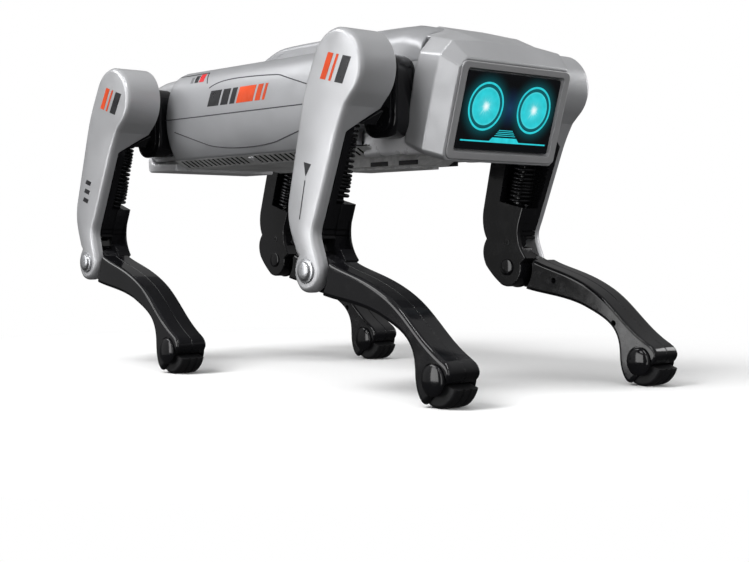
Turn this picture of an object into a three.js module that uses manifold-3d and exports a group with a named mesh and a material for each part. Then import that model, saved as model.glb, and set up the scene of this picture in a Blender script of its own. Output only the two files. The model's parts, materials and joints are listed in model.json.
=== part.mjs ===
// Four-legged robot dog toy. Millimetres, +X towards the nose, +Y to the dog's left, +Z up.
// The origin is on the ground, under the middle of the toy's bounding box.
import * as THREE from 'three';
import { ConvexGeometry } from 'three/addons/geometries/ConvexGeometry.js';
import { mergeVertices } from 'three/addons/utils/BufferGeometryUtils.js';
import Module from 'manifold-3d';

const wasm = await Module();
wasm.setup();

// ---------------------------------------------------------------- driving dimensions
const GAP = 0.35;                 // running gap between neighbouring pieces
const WALL = 2.2;                 // moulded wall thickness
const CENTRE_X = 20.2;            // hips' midpoint lies this far behind the middle of the bounding box

const HIP_X = 133.2;              // half the distance between front and rear hip axes
const HIP_Z = 201.5;              // height of the hip axes
const LEG_Y = 93;                 // distance of a leg's middle plane from the toy's middle plane
const THIGH = 128.2;              // hip axis to knee axis
const DRUM_R = 25.5;              // round hip end of the thigh
const KNEE_R = 13.8;              // round knee end of the thigh
const HUB_R = 11.5;               // hub between gearbox and thigh
const THIGH_IN = -16;             // thigh's inner face, from the leg's middle plane
const THIGH_OUT = 14;             // thigh's outer face
const SPLIT = 3;                  // plane between silver cover and black frame
const LEAN = { front: 13.1, rear: 17.2 };   // backward lean of the thighs, degrees

const ANKLE = { x: 82.2, z: -100.6 };       // ankle axis seen from the knee axis, shank's own frame
const PAD_R = 16.4;               // rounded sole of the foot pad, about the ankle axis
const AXLE_R = 3.2;
const SHANK_HALF = 12.3;          // half the shank's width
const KNEE_CLEAR = 19.6;          // the thigh stays inside this radius around the knee
const SHOULDER_R = 21;            // the shank's full width starts at this radius

const CORE_HALF = 50;             // half width of the body's core
const PANEL_HALF = 64;            // half width over the side panels
const BELLY_Z = 152.5;            // underside of the body
const SEAM_Z = 158.5;             // seam between upper and lower body shells
const FACE = { x: 179, z: 176, tilt: 15.5 };   // middle of the face and its forward tilt, degrees

const deg = THREE.MathUtils.degToRad;

// ---------------------------------------------------------------- materials
const finish = (color, roughness, metalness = 0) => ({ color, roughness, metalness });
const SILVER = finish(0xb4b5b8, 0.38, 0.55);
const GREY = finish(0x6e6e70, 0.45, 0.3);
const BLACK = finish(0x0b0b0d, 0.22, 0);
const RUBBER = finish(0x151515, 0.75, 0);
const STEEL = finish(0x9a9c9f, 0.3, 0.9);
const SMOKED = finish(0x07090c, 0.05, 0);
const TEAL = finish(0x2bcad1, 0.3, 0);
const BOARD = finish(0x1f5a34, 0.6, 0);
const CELL = finish(0x2f62a8, 0.5, 0);

const dog = new THREE.Group();
dog.position.x = -CENTRE_X;

function add(parent, name, geometry, look) {
  const mesh = new THREE.Mesh(geometry, new THREE.MeshStandardMaterial(look));
  mesh.name = name;
  parent.add(mesh);
  return mesh;
}

// ---------------------------------------------------------------- solids
// A closed geometry as a manifold solid, for cutting and joining.
function solid(geometry) {
  const bare = geometry.index ? geometry.toNonIndexed() : geometry.clone();
  bare.deleteAttribute('normal');
  bare.deleteAttribute('uv');
  const merged = mergeVertices(bare, 1e-4);
  return new wasm.Manifold(new wasm.Mesh({
    numProp: 3,
    vertProperties: new Float32Array(merged.attributes.position.array),
    triVerts: new Uint32Array(merged.index.array),
  }));
}

function geometryOf(manifold) {
  const mesh = manifold.getMesh();
  const geometry = new THREE.BufferGeometry();
  geometry.setAttribute('position', new THREE.BufferAttribute(mesh.vertProperties, 3));
  geometry.setIndex(new THREE.BufferAttribute(mesh.triVerts, 1));
  return geometry;
}

function cut(body, ...tools) {
  return tools.reduce((rest, tool) => rest.subtract(tool), body);
}

function join(body, ...others) {
  return others.reduce((sum, other) => sum.add(other), body);
}

function block(x0, x1, y0, y1, z0, z1) {
  const box = new THREE.BoxGeometry(x1 - x0, y1 - y0, z1 - z0);
  return solid(box.translate((x0 + x1) / 2, (y0 + y1) / 2, (z0 + z1) / 2));
}

// Round bar along Y from y0 to y1, centred on (x, z).
function bar(x, z, radius, y0, y1, sides = 20) {
  const cylinder = new THREE.CylinderGeometry(radius, radius, y1 - y0, sides);
  return solid(cylinder.translate(x, (y0 + y1) / 2, z));
}

// An outline drawn in X and Z, extruded from y0 to y1; round softens the edges of both end faces.
function slab(outline, y0, y1, { round = 0, steps = 2, curve = 6 } = {}) {
  const geometry = new THREE.ExtrudeGeometry(outline, {
    depth: y1 - y0 - 2 * round,
    bevelEnabled: round > 0,
    bevelThickness: round,
    bevelSize: round,
    bevelOffset: -round,
    bevelSegments: steps,
    curveSegments: curve,
  });
  return solid(geometry.rotateX(Math.PI / 2).translate(0, y1 - round, 0));
}

function polygon(points) {
  return new THREE.Shape(points.map(([x, z]) => new THREE.Vector2(x, z)));
}

function hull(points) {
  return solid(new ConvexGeometry(points.map(([x, y, z]) => new THREE.Vector3(x, y, z))));
}

// Rings of equal length joined into a closed skin, with a fan over each end.
function loft(rings) {
  const size = rings[0].length;
  const positions = rings.flat(2);
  const index = [];
  for (let r = 0; r < rings.length - 1; r += 1) {
    for (let i = 0; i < size; i += 1) {
      const a = r * size + i;
      const b = r * size + (i + 1) % size;
      index.push(a, b, a + size, b, b + size, a + size);
    }
  }
  for (let i = 1; i < size - 1; i += 1) {
    const last = (rings.length - 1) * size;
    index.push(0, i + 1, i, last, last + i, last + i + 1);
  }
  const geometry = new THREE.BufferGeometry();
  geometry.setAttribute('position', new THREE.Float32BufferAttribute(positions, 3));
  geometry.setIndex(index);
  const result = solid(geometry);
  return result.volume() < 0 ? solid(flipped(geometry)) : result;
}

function flipped(geometry) {
  const turned = geometry.clone();
  turned.setIndex(Array.from(geometry.index.array).reverse());
  return turned;
}

// ---------------------------------------------------------------- thigh
// Side view of the silver cover: hip drum, slim middle, knee lobe.
function thighOutline(grow = 0) {
  const shape = new THREE.Shape();
  const back = -28.5 - grow;
  shape.absarc(0, 0, DRUM_R, deg(-46), deg(178), false);
  shape.quadraticCurveTo(back, -8, back, -26);
  shape.lineTo(back, -88);
  shape.bezierCurveTo(back, -104, -20, -112, -14.5 - grow / 2, -120);
  shape.absarc(0, -THIGH, KNEE_R, deg(150), deg(385), false);
  shape.bezierCurveTo(8, -114, 0.5 + grow, -104, 0.8 + grow, -90);
  shape.bezierCurveTo(1 + grow, -62, 9.5, -48, 10.5, -36);
  shape.quadraticCurveTo(12, -26, 17.7, -18.4);
  return shape;
}

// Everything inside the thigh and below the sloping lower edge of the silver hip drum.
function frameZone(lift) {
  const edge = [[THIGH_IN - 2, -20 + lift], [SPLIT, -36 + lift], [SPLIT, -160], [THIGH_IN - 2, -160]];
  return hull([-60, 60].flatMap((x) => edge.map(([y, z]) => [x, y, z])));
}

function thighCover() {
  const whole = slab(thighOutline(), THIGH_IN, THIGH_OUT, { round: 3, steps: 1, curve: 4 });
  const inside = frameZone(0);
  const hubSeat = bar(0, 0, HUB_R - 1 + GAP, THIGH_IN - 1, 3.5 + GAP, 20);
  return cut(whole, inside, hubSeat, bar(0, -THIGH, 5 + GAP, 0, 30, 16));
}

const SLOT = { back: -14, depth: -1.2, top: -32, bottom: -84 };   // window for the spring

// The black frame is deeper than the cover behind, and ends in a lobe behind the knee.
function frameOutline() {
  const shape = new THREE.Shape();
  shape.moveTo(30, -2);
  shape.lineTo(-26, -2);
  shape.quadraticCurveTo(-33.5, -20, -33.5, -50);
  shape.lineTo(-33, -94);
  shape.quadraticCurveTo(-32, -106, -25, -113);
  shape.quadraticCurveTo(-29.5, -123, -21, -132);
  shape.quadraticCurveTo(-12, -138.5, -4, -141.2);
  shape.absarc(0, -THIGH, KNEE_R, deg(-107), deg(25), false);
  shape.lineTo(16.5, -117.5);
  shape.quadraticCurveTo(4.5, -110, 4, -96);
  shape.lineTo(6, -78);
  shape.lineTo(9, -50);
  shape.lineTo(13.5, -30);
  shape.lineTo(21, -17);
  return shape;
}

function thighFrame() {
  const plate = slab(frameOutline(), THIGH_IN, TONGUE.in - GAP, { curve: 3 });
  const spine = slab(frameOutline(), TONGUE.in - GAP - 1, SPLIT - GAP, { curve: 3 });
  const body = join(plate, spine.intersect(slab(thighOutline(0.8), -30, 30, { curve: 4 })));
  const zone = frameZone(-GAP - 0.2);
  const slot = block(SLOT.back, 40, THIGH_IN - 1, SLOT.depth, SLOT.bottom, SLOT.top);
  const tongueRoom = bar(0, -THIGH, SHOULDER_R + 0.6, TONGUE.in - GAP, 20, 24);
  const pinHole = bar(0, -THIGH, 5 + GAP, -20, 20, 16);
  const screwHole = bar(-4, -THIGH + 17.5, 1.7, -20, TONGUE.in - 4, 6);
  const nearKnee = cut(bar(0, -THIGH, 40, -30, 30, 24), bar(0, -THIGH, KNEE_CLEAR, -31, 31, 36));
  const shoulderRoom = nearKnee.intersect(block(4, 40, -30, 30, -THIGH - 40, -THIGH + 14));
  return cut(body.intersect(zone), slot, tongueRoom, pinHole, screwHole, shoulderRoom);
}

const SPRING = { x: -4, y: -8.6, radius: 6.3, wire: 1.05, pitch: 4.3 };

class Helix extends THREE.Curve {
  getPoint(t) {
    const height = SLOT.top - SLOT.bottom - 2 * (SPRING.wire + GAP);
    const angle = (t * height / SPRING.pitch) * 2 * Math.PI;
    const z = SLOT.bottom + SPRING.wire + GAP + t * height;
    return new THREE.Vector3(
      SPRING.x + SPRING.radius * Math.cos(angle),
      SPRING.y + SPRING.radius * Math.sin(angle),
      z,
    );
  }
}

function spring() {
  const wire = new THREE.Shape();
  wire.moveTo(SPRING.wire, 0);
  wire.lineTo(-SPRING.wire / 2, SPRING.wire * 0.87);
  wire.lineTo(-SPRING.wire / 2, -SPRING.wire * 0.87);
  const turns = Math.round((SLOT.top - SLOT.bottom) / SPRING.pitch);
  const coil = new THREE.ExtrudeGeometry(wire, { steps: turns * 5, extrudePath: new Helix() });
  return solid(coil);
}

// Turned shape around a bar along Y: pairs of radius and y, from one end of the axis to the other.
function turned(profile, x, z, sides) {
  const points = profile.map(([radius, y]) => new THREE.Vector2(radius, y));
  return solid(new THREE.LatheGeometry(points, sides).translate(x, 0, z));
}

function kneePin() {
  const head = 7.4;
  const profile = [
    [0, THIGH_IN - 1.2], [4.6, THIGH_IN - 1.2], [4.6, THIGH_IN + 1],
    [5, THIGH_IN + 1], [5, THIGH_OUT + 0.3], [head, THIGH_OUT + 0.3], [head, THIGH_OUT + 1.4],
    [head - 1.8, THIGH_OUT + 2.4], [0, THIGH_OUT + 2.7],
  ];
  return turned(profile, 0, -THIGH, 14);
}

function hipHub() {
  const inner = -LEG_Y + GEARBOX.flange + GAP;
  const profile = [
    [0, inner], [HUB_R - 1.2, inner], [HUB_R, inner + 1.2], [HUB_R, THIGH_IN - GAP],
    [HUB_R - 1, THIGH_IN - GAP], [HUB_R - 1, 3.5], [0, 3.5],
  ];
  return turned(profile, 0, 0, 14);
}

// ---------------------------------------------------------------- shank and foot
const TONGUE = { in: -4, out: 2.5 };   // knee tongue between frame and cover

function shankOutline() {
  const shape = new THREE.Shape();
  shape.moveTo(15, -4);
  shape.lineTo(22.2, -3.5);
  shape.bezierCurveTo(32, -14, 52, -25, 67, -46);
  shape.bezierCurveTo(78, -62, 81, -77, 94, -93);
  shape.bezierCurveTo(99, -99, 98, -104, 92, -105.5);
  shape.quadraticCurveTo(ANKLE.x, -106.5, 71, -111);
  shape.bezierCurveTo(65, -112, 64, -101, 68, -91);
  shape.bezierCurveTo(75, -74, 68, -66, 52, -50);
  shape.bezierCurveTo(38, -37, 22, -30, 7, -19.5);
  shape.lineTo(9, -10);
  return shape;
}

// One half of the shank; side is +1 for the outer shell and -1 for the inner shell.
function shankShell(side) {
  const full = slab(shankOutline(), -SHANK_HALF, SHANK_HALF, { round: 2.4, steps: 1, curve: 3 });
  const half = side > 0 ? block(-30, 130, GAP / 2, 30, -130, 30) : block(-30, 130, -30, -GAP / 2, -130, 30);
  const axleHole = bar(ANKLE.x, ANKLE.z, AXLE_R + GAP, -30, 30, 12);
  const dishes = bar(ANKLE.x, ANKLE.z, 9.8, side * (SHANK_HALF + 0.7) - 1.6, side * (SHANK_HALF + 0.7) + 1.6, 20);
  const shoulderRoom = bar(0, 0, SHOULDER_R, -30, 30, 40);
  let shell = cut(full.intersect(half), padRoom(), axleHole, dishes, shoulderRoom);
  if (side > 0) {
    shell = cut(shell, tongueBody(GAP));
  } else {
    const arm = cut(tongueBody(0), bar(0, 0, 5 + GAP, -30, 30, 16));
    shell = join(cut(shell, tongueBody(0)), arm);
    for (const [x, z] of [[34, -24], [72, -70]]) {
      shell = cut(shell, bar(x, z, 1.6, -SHANK_HALF - 1, -SHANK_HALF + 3, 6));
    }
  }
  return shell;
}

// The tongue around the knee pin, with the root that runs into the shank.
function tongueBody(grow) {
  const arm = new THREE.Shape();
  const radius = 12.6 + grow;
  arm.absarc(0, 0, radius, deg(60), deg(245), false);
  arm.lineTo(12, -23 - grow);
  arm.lineTo(30 + grow, -31 - grow);
  arm.lineTo(33 + grow, -18);
  arm.lineTo(24, -6.5 + grow);
  return slab(arm, TONGUE.in - grow, TONGUE.out + grow, { curve: 8 });
}

const PAD = { half: 9.6, hub: 6.4, front: -40, back: -166, swing: 9 };

// Wedge of the foot pad's turning circle, between two directions seen from the ankle.
function padWedge(grow) {
  const reach = 2 * PAD_R;
  const directions = [PAD.back - grow, (PAD.back + PAD.front) / 2, PAD.front + grow];
  const rim = directions.map((a) => [ANKLE.x + reach * Math.cos(deg(a)), ANKLE.z + reach * Math.sin(deg(a))]);
  return slab(polygon([[ANKLE.x, ANKLE.z], ...rim]), -30, 30);
}

function footPad() {
  const { half } = PAD;
  const edge = PAD_R - 1.6;
  const groove = PAD_R - 1.2;
  const profile = [
    [0, -half], [edge, -half], [PAD_R, -half * 0.78], [PAD_R, -half * 0.4], [groove, -half * 0.32],
    [groove, half * 0.32], [PAD_R, half * 0.4], [PAD_R, half * 0.78], [edge, half], [0, half],
  ];
  const sole = turned(profile, ANKLE.x, ANKLE.z, 28).intersect(padWedge(0));
  const hub = bar(ANKLE.x, ANKLE.z, PAD.hub, -half, half, 14);
  return cut(join(sole, hub), bar(ANKLE.x, ANKLE.z, AXLE_R + GAP, -30, 30, 12));
}

// Room in the foot for the pad and its swing.
function padRoom() {
  const half = PAD.half + GAP;
  const sweep = bar(ANKLE.x, ANKLE.z, PAD_R + 2, -half, half, 24).intersect(padWedge(PAD.swing));
  return join(sweep, bar(ANKLE.x, ANKLE.z, PAD.hub + 2 * GAP, -half, half, 14));
}

function ankleAxle() {
  const face = SHANK_HALF + 1.6;
  const cap = 9.2;
  const seat = SHANK_HALF - 0.5;
  const end = [[cap, seat], [cap, seat + 1], [cap - 2.4, face], [0, face + 0.9]];
  const mirrored = end.map(([radius, y]) => [radius, -y]).reverse();
  const profile = [...mirrored, [AXLE_R, -seat], [AXLE_R, seat], ...end];
  return turned(profile, ANKLE.x, ANKLE.z, 14);
}

// ---------------------------------------------------------------- hip gearboxes
// Sizes seen from the hip axis; the flange sits a little behind it.
const GEARBOX = { half: 16.4, top: 11.8, bottom: -41, corner: 12, flange: 68, front: -4.5, rear: -10.8 };

function flangeOutline(offset, grow = 0) {
  const right = offset + GEARBOX.half - GEARBOX.corner;
  const left = offset - GEARBOX.half + GEARBOX.corner;
  const high = GEARBOX.top - GEARBOX.corner;
  const low = GEARBOX.bottom + GEARBOX.corner;
  const radius = GEARBOX.corner + grow;
  const shape = new THREE.Shape();
  shape.absarc(right, high, radius, 0, Math.PI / 2, false);
  shape.absarc(left, high, radius, Math.PI / 2, Math.PI, false);
  shape.absarc(left, low, radius, Math.PI, Math.PI * 1.5, false);
  shape.absarc(right, low, radius, Math.PI * 1.5, Math.PI * 2, false);
  return shape;
}

// Gearbox with its motor; y counts from the toy's middle plane.
function gearbox(end) {
  const offset = GEARBOX[end];
  const flange = slab(flangeOutline(offset), 42, GEARBOX.flange, { round: 1.5, steps: 1, curve: 3 });
  const box = block(offset - 12, offset + 12, 14, 50, -30, 7);
  const motorCan = bar(offset, -16, 10, 6, 15, 14);
  const whole = join(flange, box, motorCan);
  return end === 'front' ? cut(whole, headBody(-GAP).translate([-HIP_X, 0, -HIP_Z])) : whole;
}

// ---------------------------------------------------------------- body
// Side view of the body core, from tail to neck.
function coreOutline(inset = 0) {
  const i = inset;
  return polygon([
    [-176 + i, 162 + i], [-168 + i, BELLY_Z + 1 + i], [-60, BELLY_Z + i], [140, BELLY_Z + i],
    [149 - i, 157 + i], [146 - i, 216 - i], [128, 229 - i], [104, 230 - i],
    [60, 227 - i], [-118, 223 - i], [-160 + i, 220 - i], [-172 + i, 208 - i],
  ]);
}

// Cross-section of the core: straight sides, and a keel that narrows to the belly.
function coreSection(inset = 0) {
  const w = CORE_HALF - inset;
  const half = [[w, 260], [w, 164], [w - 5, 157 + inset * 0.3], [w - 12, BELLY_Z - 2 + inset]];
  const ring = [...half, ...half.map(([y, z]) => [-y, z]).reverse()];
  return hull([-200, 200].flatMap((x) => ring.map(([y, z]) => [x, y, z])));
}

function coreSkin() {
  const outer = slab(coreOutline(), -CORE_HALF, CORE_HALF, { round: 5, steps: 1 }).intersect(coreSection());
  const inner = slab(coreOutline(WALL), -CORE_HALF, CORE_HALF).intersect(coreSection(WALL));
  const neckHole = block(120, 160, -34, 34, 168, 204);
  let skin = cut(outer, inner, neckHole);
  for (const [end, x] of [['front', HIP_X], ['rear', -HIP_X]]) {
    const opening = slab(flangeOutline(GEARBOX[end], GAP), -90, 90, { curve: 3 });
    skin = cut(skin, opening.translate([x, 0, HIP_Z]));
  }
  return skin;
}

function bodyUpperShell() {
  const dorsalSeat = block(-50, 126, -33, 33, 220, 260);
  return cut(coreSkin().intersect(block(-200, 200, -80, 80, SEAM_Z, 260)), dorsalSeat);
}

const VENT = { count: 12, start: -108, pitch: 16, width: 5 };
const MODULE = { x0: 22, x1: 116, half: 19, low: 144.5 };   // battery compartment below the belly

// Sloping rail under a side panel, with a row of vent slots.
function ventRail(side) {
  const section = [[CORE_HALF - 13, BELLY_Z + 0.2], [CORE_HALF + 7, 157], [CORE_HALF - 5, 157.4]];
  const rail = hull([-119, 106].flatMap((x) => section.map(([y, z]) => [x, side * y, z])));
  const slots = Array.from({ length: VENT.count }, (_, n) => {
    const x = VENT.start + n * VENT.pitch;
    const near = [[x, 53], [x + VENT.width, 53], [x, 44], [x + VENT.width, 44]];
    return hull(near.flatMap(([u, y]) => [[u, side * y, 150], [u, side * y, 155.2 + (y - 44) * 0.2]]));
  });
  return cut(rail, ...slots);
}

function bodyLowerShell() {
  const tray = coreSkin().intersect(block(-200, 200, -80, 80, 100, SEAM_Z - GAP));
  const moduleSeat = block(MODULE.x0 - GAP, MODULE.x1 + GAP, -MODULE.half - GAP, MODULE.half + GAP, 100, 157);
  const switchSlot = block(-30, -12, -4, 4, 130, 160);
  const portHole = block(-98, -86, -6, 6, 140, 160);
  return cut(join(tray, ventRail(1), ventRail(-1)), moduleSeat, switchSlot, portHole);
}

function batteryBox() {
  const { x0, x1, half, low } = MODULE;
  const outline = polygon([[x0, 156], [x0, low + 4], [x0 + 5, low + 2], [x1 - 12, low + 2], [x1, 152], [x1, 156]]);
  const tub = slab(outline, -half, half);
  const hollow = block(x0 + 2, x1 - 12, -half + 2, half - 2, low + 3.6, 170);
  return cut(tub, hollow, block(x0 + 6, x1 - 16, -half + 5, half - 5, 130, 160));
}

function batteryDoor() {
  const { x0, x1, half, low } = MODULE;
  const plate = block(x0 + 6 + GAP, x1 - 16 - GAP, -half + 5 + GAP, half - 5 - GAP, low, low + 3.2);
  const grip = bar(x1 - 24, low - 4, 5, -8, 8, 12);
  return cut(plate, grip);
}

function panelOutline() {
  const shape = new THREE.Shape();
  shape.moveTo(-122, 158);
  shape.lineTo(100, 157.5);
  shape.quadraticCurveTo(107, 158, 109, 166);
  shape.lineTo(107, 214);
  shape.quadraticCurveTo(105, 224, 96, 224.5);
  shape.lineTo(-110, 222.5);
  shape.quadraticCurveTo(-120, 222, -122, 212);
  shape.quadraticCurveTo(-128, 186, -122, 158);
  return shape;
}

function sidePanel(side) {
  const low = side > 0 ? CORE_HALF + GAP : -PANEL_HALF - 12;
  const high = side > 0 ? PANEL_HALF + 12 : -CORE_HALF - GAP;
  const bulge = new THREE.Shape();
  bulge.moveTo(CORE_HALF, 150);
  bulge.lineTo(CORE_HALF + 7, 157);
  bulge.bezierCurveTo(PANEL_HALF, 170, PANEL_HALF + 1, 186, PANEL_HALF, 196);
  bulge.bezierCurveTo(PANEL_HALF - 1, 208, PANEL_HALF - 4, 220, CORE_HALF, 226);
  const along = new THREE.ExtrudeGeometry(bulge, { depth: 280, bevelEnabled: false, curveSegments: 6 });
  along.rotateX(Math.PI / 2).rotateZ(Math.PI / 2).translate(-140, 0, 0);
  const upright = solid(along);
  const crowned = side > 0 ? upright : upright.mirror([0, 1, 0]);
  return slab(panelOutline(), low, high, { curve: 5 }).intersect(crowned).subtract(panelHollow(side));
}

// The space behind a side panel, open towards the core.
function panelHollow(side) {
  const wall = PANEL_HALF - WALL;
  const section = [[49, 163], [wall - 4, 170], [wall, 184], [wall, 198], [wall - 3.5, 211], [49, 218]];
  return hull([-117, 102].flatMap((x) => section.map(([y, z]) => [x, side * y, z])));
}

const DORSAL = { half: 32.6, back: -49, front: 122, low: 221, top: 235.4 };

function dorsalCover() {
  const { half, back, front, low, top } = DORSAL;
  const shape = new THREE.Shape();
  shape.moveTo(back, low);
  shape.lineTo(front, low);
  shape.lineTo(front, top - 2.4);
  shape.quadraticCurveTo(front - 10, top, front - 32, top);
  shape.bezierCurveTo(40, top, 0, top - 0.4, -18, top - 4.4);
  shape.quadraticCurveTo(-38, top - 8.4, back, low + 4);
  const hollow = block(back + 33, front - WALL, -half + WALL, half - WALL, low - 1, top - 6.6);
  return cut(slab(shape, -half, half, { round: 2, steps: 1, curve: 6 }), hollow);
}

// ---------------------------------------------------------------- head
// A ring across the head: half widths at the top, the widest place and the bottom.
function headRing(depth, { top, wide, low, high, base, crown }) {
  const profile = [
    [low, base], [low + 3.5, base + 4], [wide, high * 0.42], [wide - 3, high - 10], [top, high], [24, crown],
  ];
  const right = profile.map(([y, v]) => [y, v]);
  const left = profile.map(([y, v]) => [-y, v]).reverse();
  return [...right, ...left].map(([y, v]) => facePoint(depth, y, v));
}

// A point given by its distance in front of the face plane, sideways and up the face.
function facePoint(depth, y, v) {
  const tilt = deg(FACE.tilt);
  return [
    FACE.x + depth * Math.cos(tilt) + v * Math.sin(tilt),
    y,
    FACE.z - depth * Math.sin(tilt) + v * Math.cos(tilt),
  ];
}

const HEAD = {
  back: { top: 46, wide: 57, low: 47, high: 39, base: -31, crown: 44 },
  brow: { top: 47, wide: 59.5, low: 49, high: 41, base: -32, crown: 42 },
  rim: { top: 42, wide: 50, low: 48, high: 31, base: -30.5, crown: 31 },
};
const HEAD_BACK = -33;
const HEAD_BROW = -13.5;

function headBody(inset = 0) {
  const slim = ({ top, wide, low, high, base, crown }) => ({
    top: top - inset, wide: wide - inset, low: low - inset, high: high - inset, base: base + inset,
    crown: crown - inset,
  });
  return loft([
    headRing(HEAD_BACK + inset, slim(HEAD.back)),
    headRing(HEAD_BROW, slim(HEAD.brow)),
    headRing(0, slim(HEAD.rim)),
  ]);
}

// A box standing on the face plane.
function faceBlock(d0, d1, halfWidth, v0, v1) {
  const corners = [d0, d1].flatMap((d) => [v0, v1].flatMap((v) => [-halfWidth, halfWidth].map((y) => [d, y, v])));
  return hull(corners.map(([d, y, v]) => facePoint(d, y, v)));
}

// A disc parallel to the face plane.
function faceDisc(y, v, radius, d0, d1) {
  const cylinder = new THREE.CylinderGeometry(radius, radius, d1 - d0, 24);
  cylinder.rotateZ(Math.PI / 2).translate((d0 + d1) / 2, 0, 0).rotateY(deg(FACE.tilt));
  const [x, , z] = facePoint(0, 0, v);
  return solid(cylinder.translate(x, y, z));
}

const SCREEN = { half: 41.4, low: -24.2, high: 24.6 };
const BEZEL = { half: 47.2, low: -29, high: 29.5, depth: -5 };

function headShell() {
  const room = headBody(WALL + 2.8);
  const front = faceBlock(BEZEL.depth - GAP, 20, BEZEL.half + GAP, BEZEL.low - GAP, BEZEL.high + GAP);
  const throat = block(130, 165, -34, 34, 164, 204);
  return cut(headBody(), room, front, throat, coreNeckCut());
}

// Space taken by the neck end of the body core.
function coreNeckCut() {
  return slab(polygon([[100, 140], [149.4, 140], [149.4, 157], [146.4, 216.4], [128, 229.6], [100, 232]]), -80, 80);
}

function headBezel() {
  const frame = faceBlock(BEZEL.depth, 0.6, BEZEL.half, BEZEL.low, BEZEL.high);
  const opening = faceBlock(-20, 20, SCREEN.half, SCREEN.low, SCREEN.high);
  return cut(frame, opening);
}

function displayLens() {
  return faceBlock(-2.6, -0.6, SCREEN.half - GAP, SCREEN.low + GAP, SCREEN.high - GAP);
}

// ---------------------------------------------------------------- assembly
function buildLeg(end, sideName) {
  const side = sideName === 'left' ? 1 : -1;
  const label = `${end}_${sideName}`;
  const lean = LEAN[end];
  const leg = new THREE.Group();
  leg.position.set(end === 'front' ? HIP_X : -HIP_X, side * LEG_Y, HIP_Z);
  leg.rotation.y = deg(lean);
  leg.scale.y = side;
  dog.add(leg);
  add(leg, `${label}_hip_hub`, geometryOf(hipHub()), BLACK);
  add(leg, `${label}_thigh_cover`, geometryOf(thighCover()), SILVER);
  add(leg, `${label}_thigh_frame`, geometryOf(thighFrame()), BLACK);
  add(leg, `${label}_thigh_spring`, geometryOf(spring()), STEEL);
  add(leg, `${label}_knee_pin`, geometryOf(kneePin()), STEEL);
  const shank = new THREE.Group();
  shank.position.z = -THIGH;
  shank.rotation.y = deg(kneeBend(lean));
  leg.add(shank);
  add(shank, `${label}_shank_outer`, geometryOf(shankShell(1)), BLACK);
  add(shank, `${label}_shank_inner`, geometryOf(shankShell(-1)), BLACK);
  add(shank, `${label}_ankle_axle`, geometryOf(ankleAxle()), BLACK);
  add(shank, `${label}_foot_pad`, geometryOf(footPad()), RUBBER);
}

// The knee bends until the foot pad stands on the ground.
function kneeBend(lean) {
  const reach = Math.hypot(ANKLE.x, ANKLE.z);
  const kneeHeight = HIP_Z - THIGH * Math.cos(deg(lean));
  const slope = Math.atan2(ANKLE.z, ANKLE.x);
  const drop = Math.asin((PAD_R - kneeHeight) / reach);
  return THREE.MathUtils.radToDeg(slope - drop) - lean;
}

for (const end of ['front', 'rear']) {
  for (const sideName of ['left', 'right']) {
    buildLeg(end, sideName);
    const hip = new THREE.Group();
    hip.position.set(end === 'front' ? HIP_X : -HIP_X, 0, HIP_Z);
    hip.scale.y = sideName === 'left' ? 1 : -1;
    dog.add(hip);
    add(hip, `${end}_${sideName}_hip_gearbox`, geometryOf(gearbox(end)), BLACK);
  }
}

add(dog, 'body_upper_shell', geometryOf(bodyUpperShell()), SILVER);
add(dog, 'body_lower_shell', geometryOf(bodyLowerShell()), GREY);
add(dog, 'left_side_panel', geometryOf(sidePanel(1)), SILVER);
add(dog, 'right_side_panel', geometryOf(sidePanel(-1)), SILVER);
add(dog, 'dorsal_cover', geometryOf(dorsalCover()), SILVER);
add(dog, 'battery_box', geometryOf(batteryBox()), GREY);
add(dog, 'battery_door', geometryOf(batteryDoor()), GREY);
add(dog, 'battery_pack', geometryOf(block(28, 98, -16, 16, 149, 168)), CELL);
add(dog, 'main_board', geometryOf(block(-70, 60, -24, 24, 178, 179.8)), BOARD);
add(dog, 'speaker', geometryOf(bar(-70, 0, 14, -6, 6, 20).rotate([90, 0, 0]).translate([0, 0, 162])), BLACK);
add(dog, 'power_switch', geometryOf(join(block(-24, -19, -3, 3, 151, 156), block(-33, -9, -7, 7, 156, 158))), BLACK);
add(dog, 'charging_socket', geometryOf(block(-96, -88, -4, 4, 153.5, 161)), BLACK);

add(dog, 'head_shell', geometryOf(headShell()), SILVER);
add(dog, 'head_bezel', geometryOf(headBezel()), GREY);
add(dog, 'display_lens', geometryOf(displayLens()), SMOKED);
add(dog, 'left_eye_light', geometryOf(faceDisc(22, 3.5, 12, -5, -3)), TEAL);
add(dog, 'right_eye_light', geometryOf(faceDisc(-22, 3.5, 12, -5, -3)), TEAL);
add(dog, 'display_board', geometryOf(faceBlock(-8.5, -6, 40, -23, 23)), BOARD);

export default dog;
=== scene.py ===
"""Robot dog toy: the looks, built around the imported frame.

Metres in Blender, +X towards the nose, +Y to the dog's left, +Z up. Shapes are drawn in
millimetres in the place's own axes and are put into the frame by one matrix each.
"""

import json
import math

import bmesh
import bpy
from mathutils import Matrix, Vector

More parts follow.
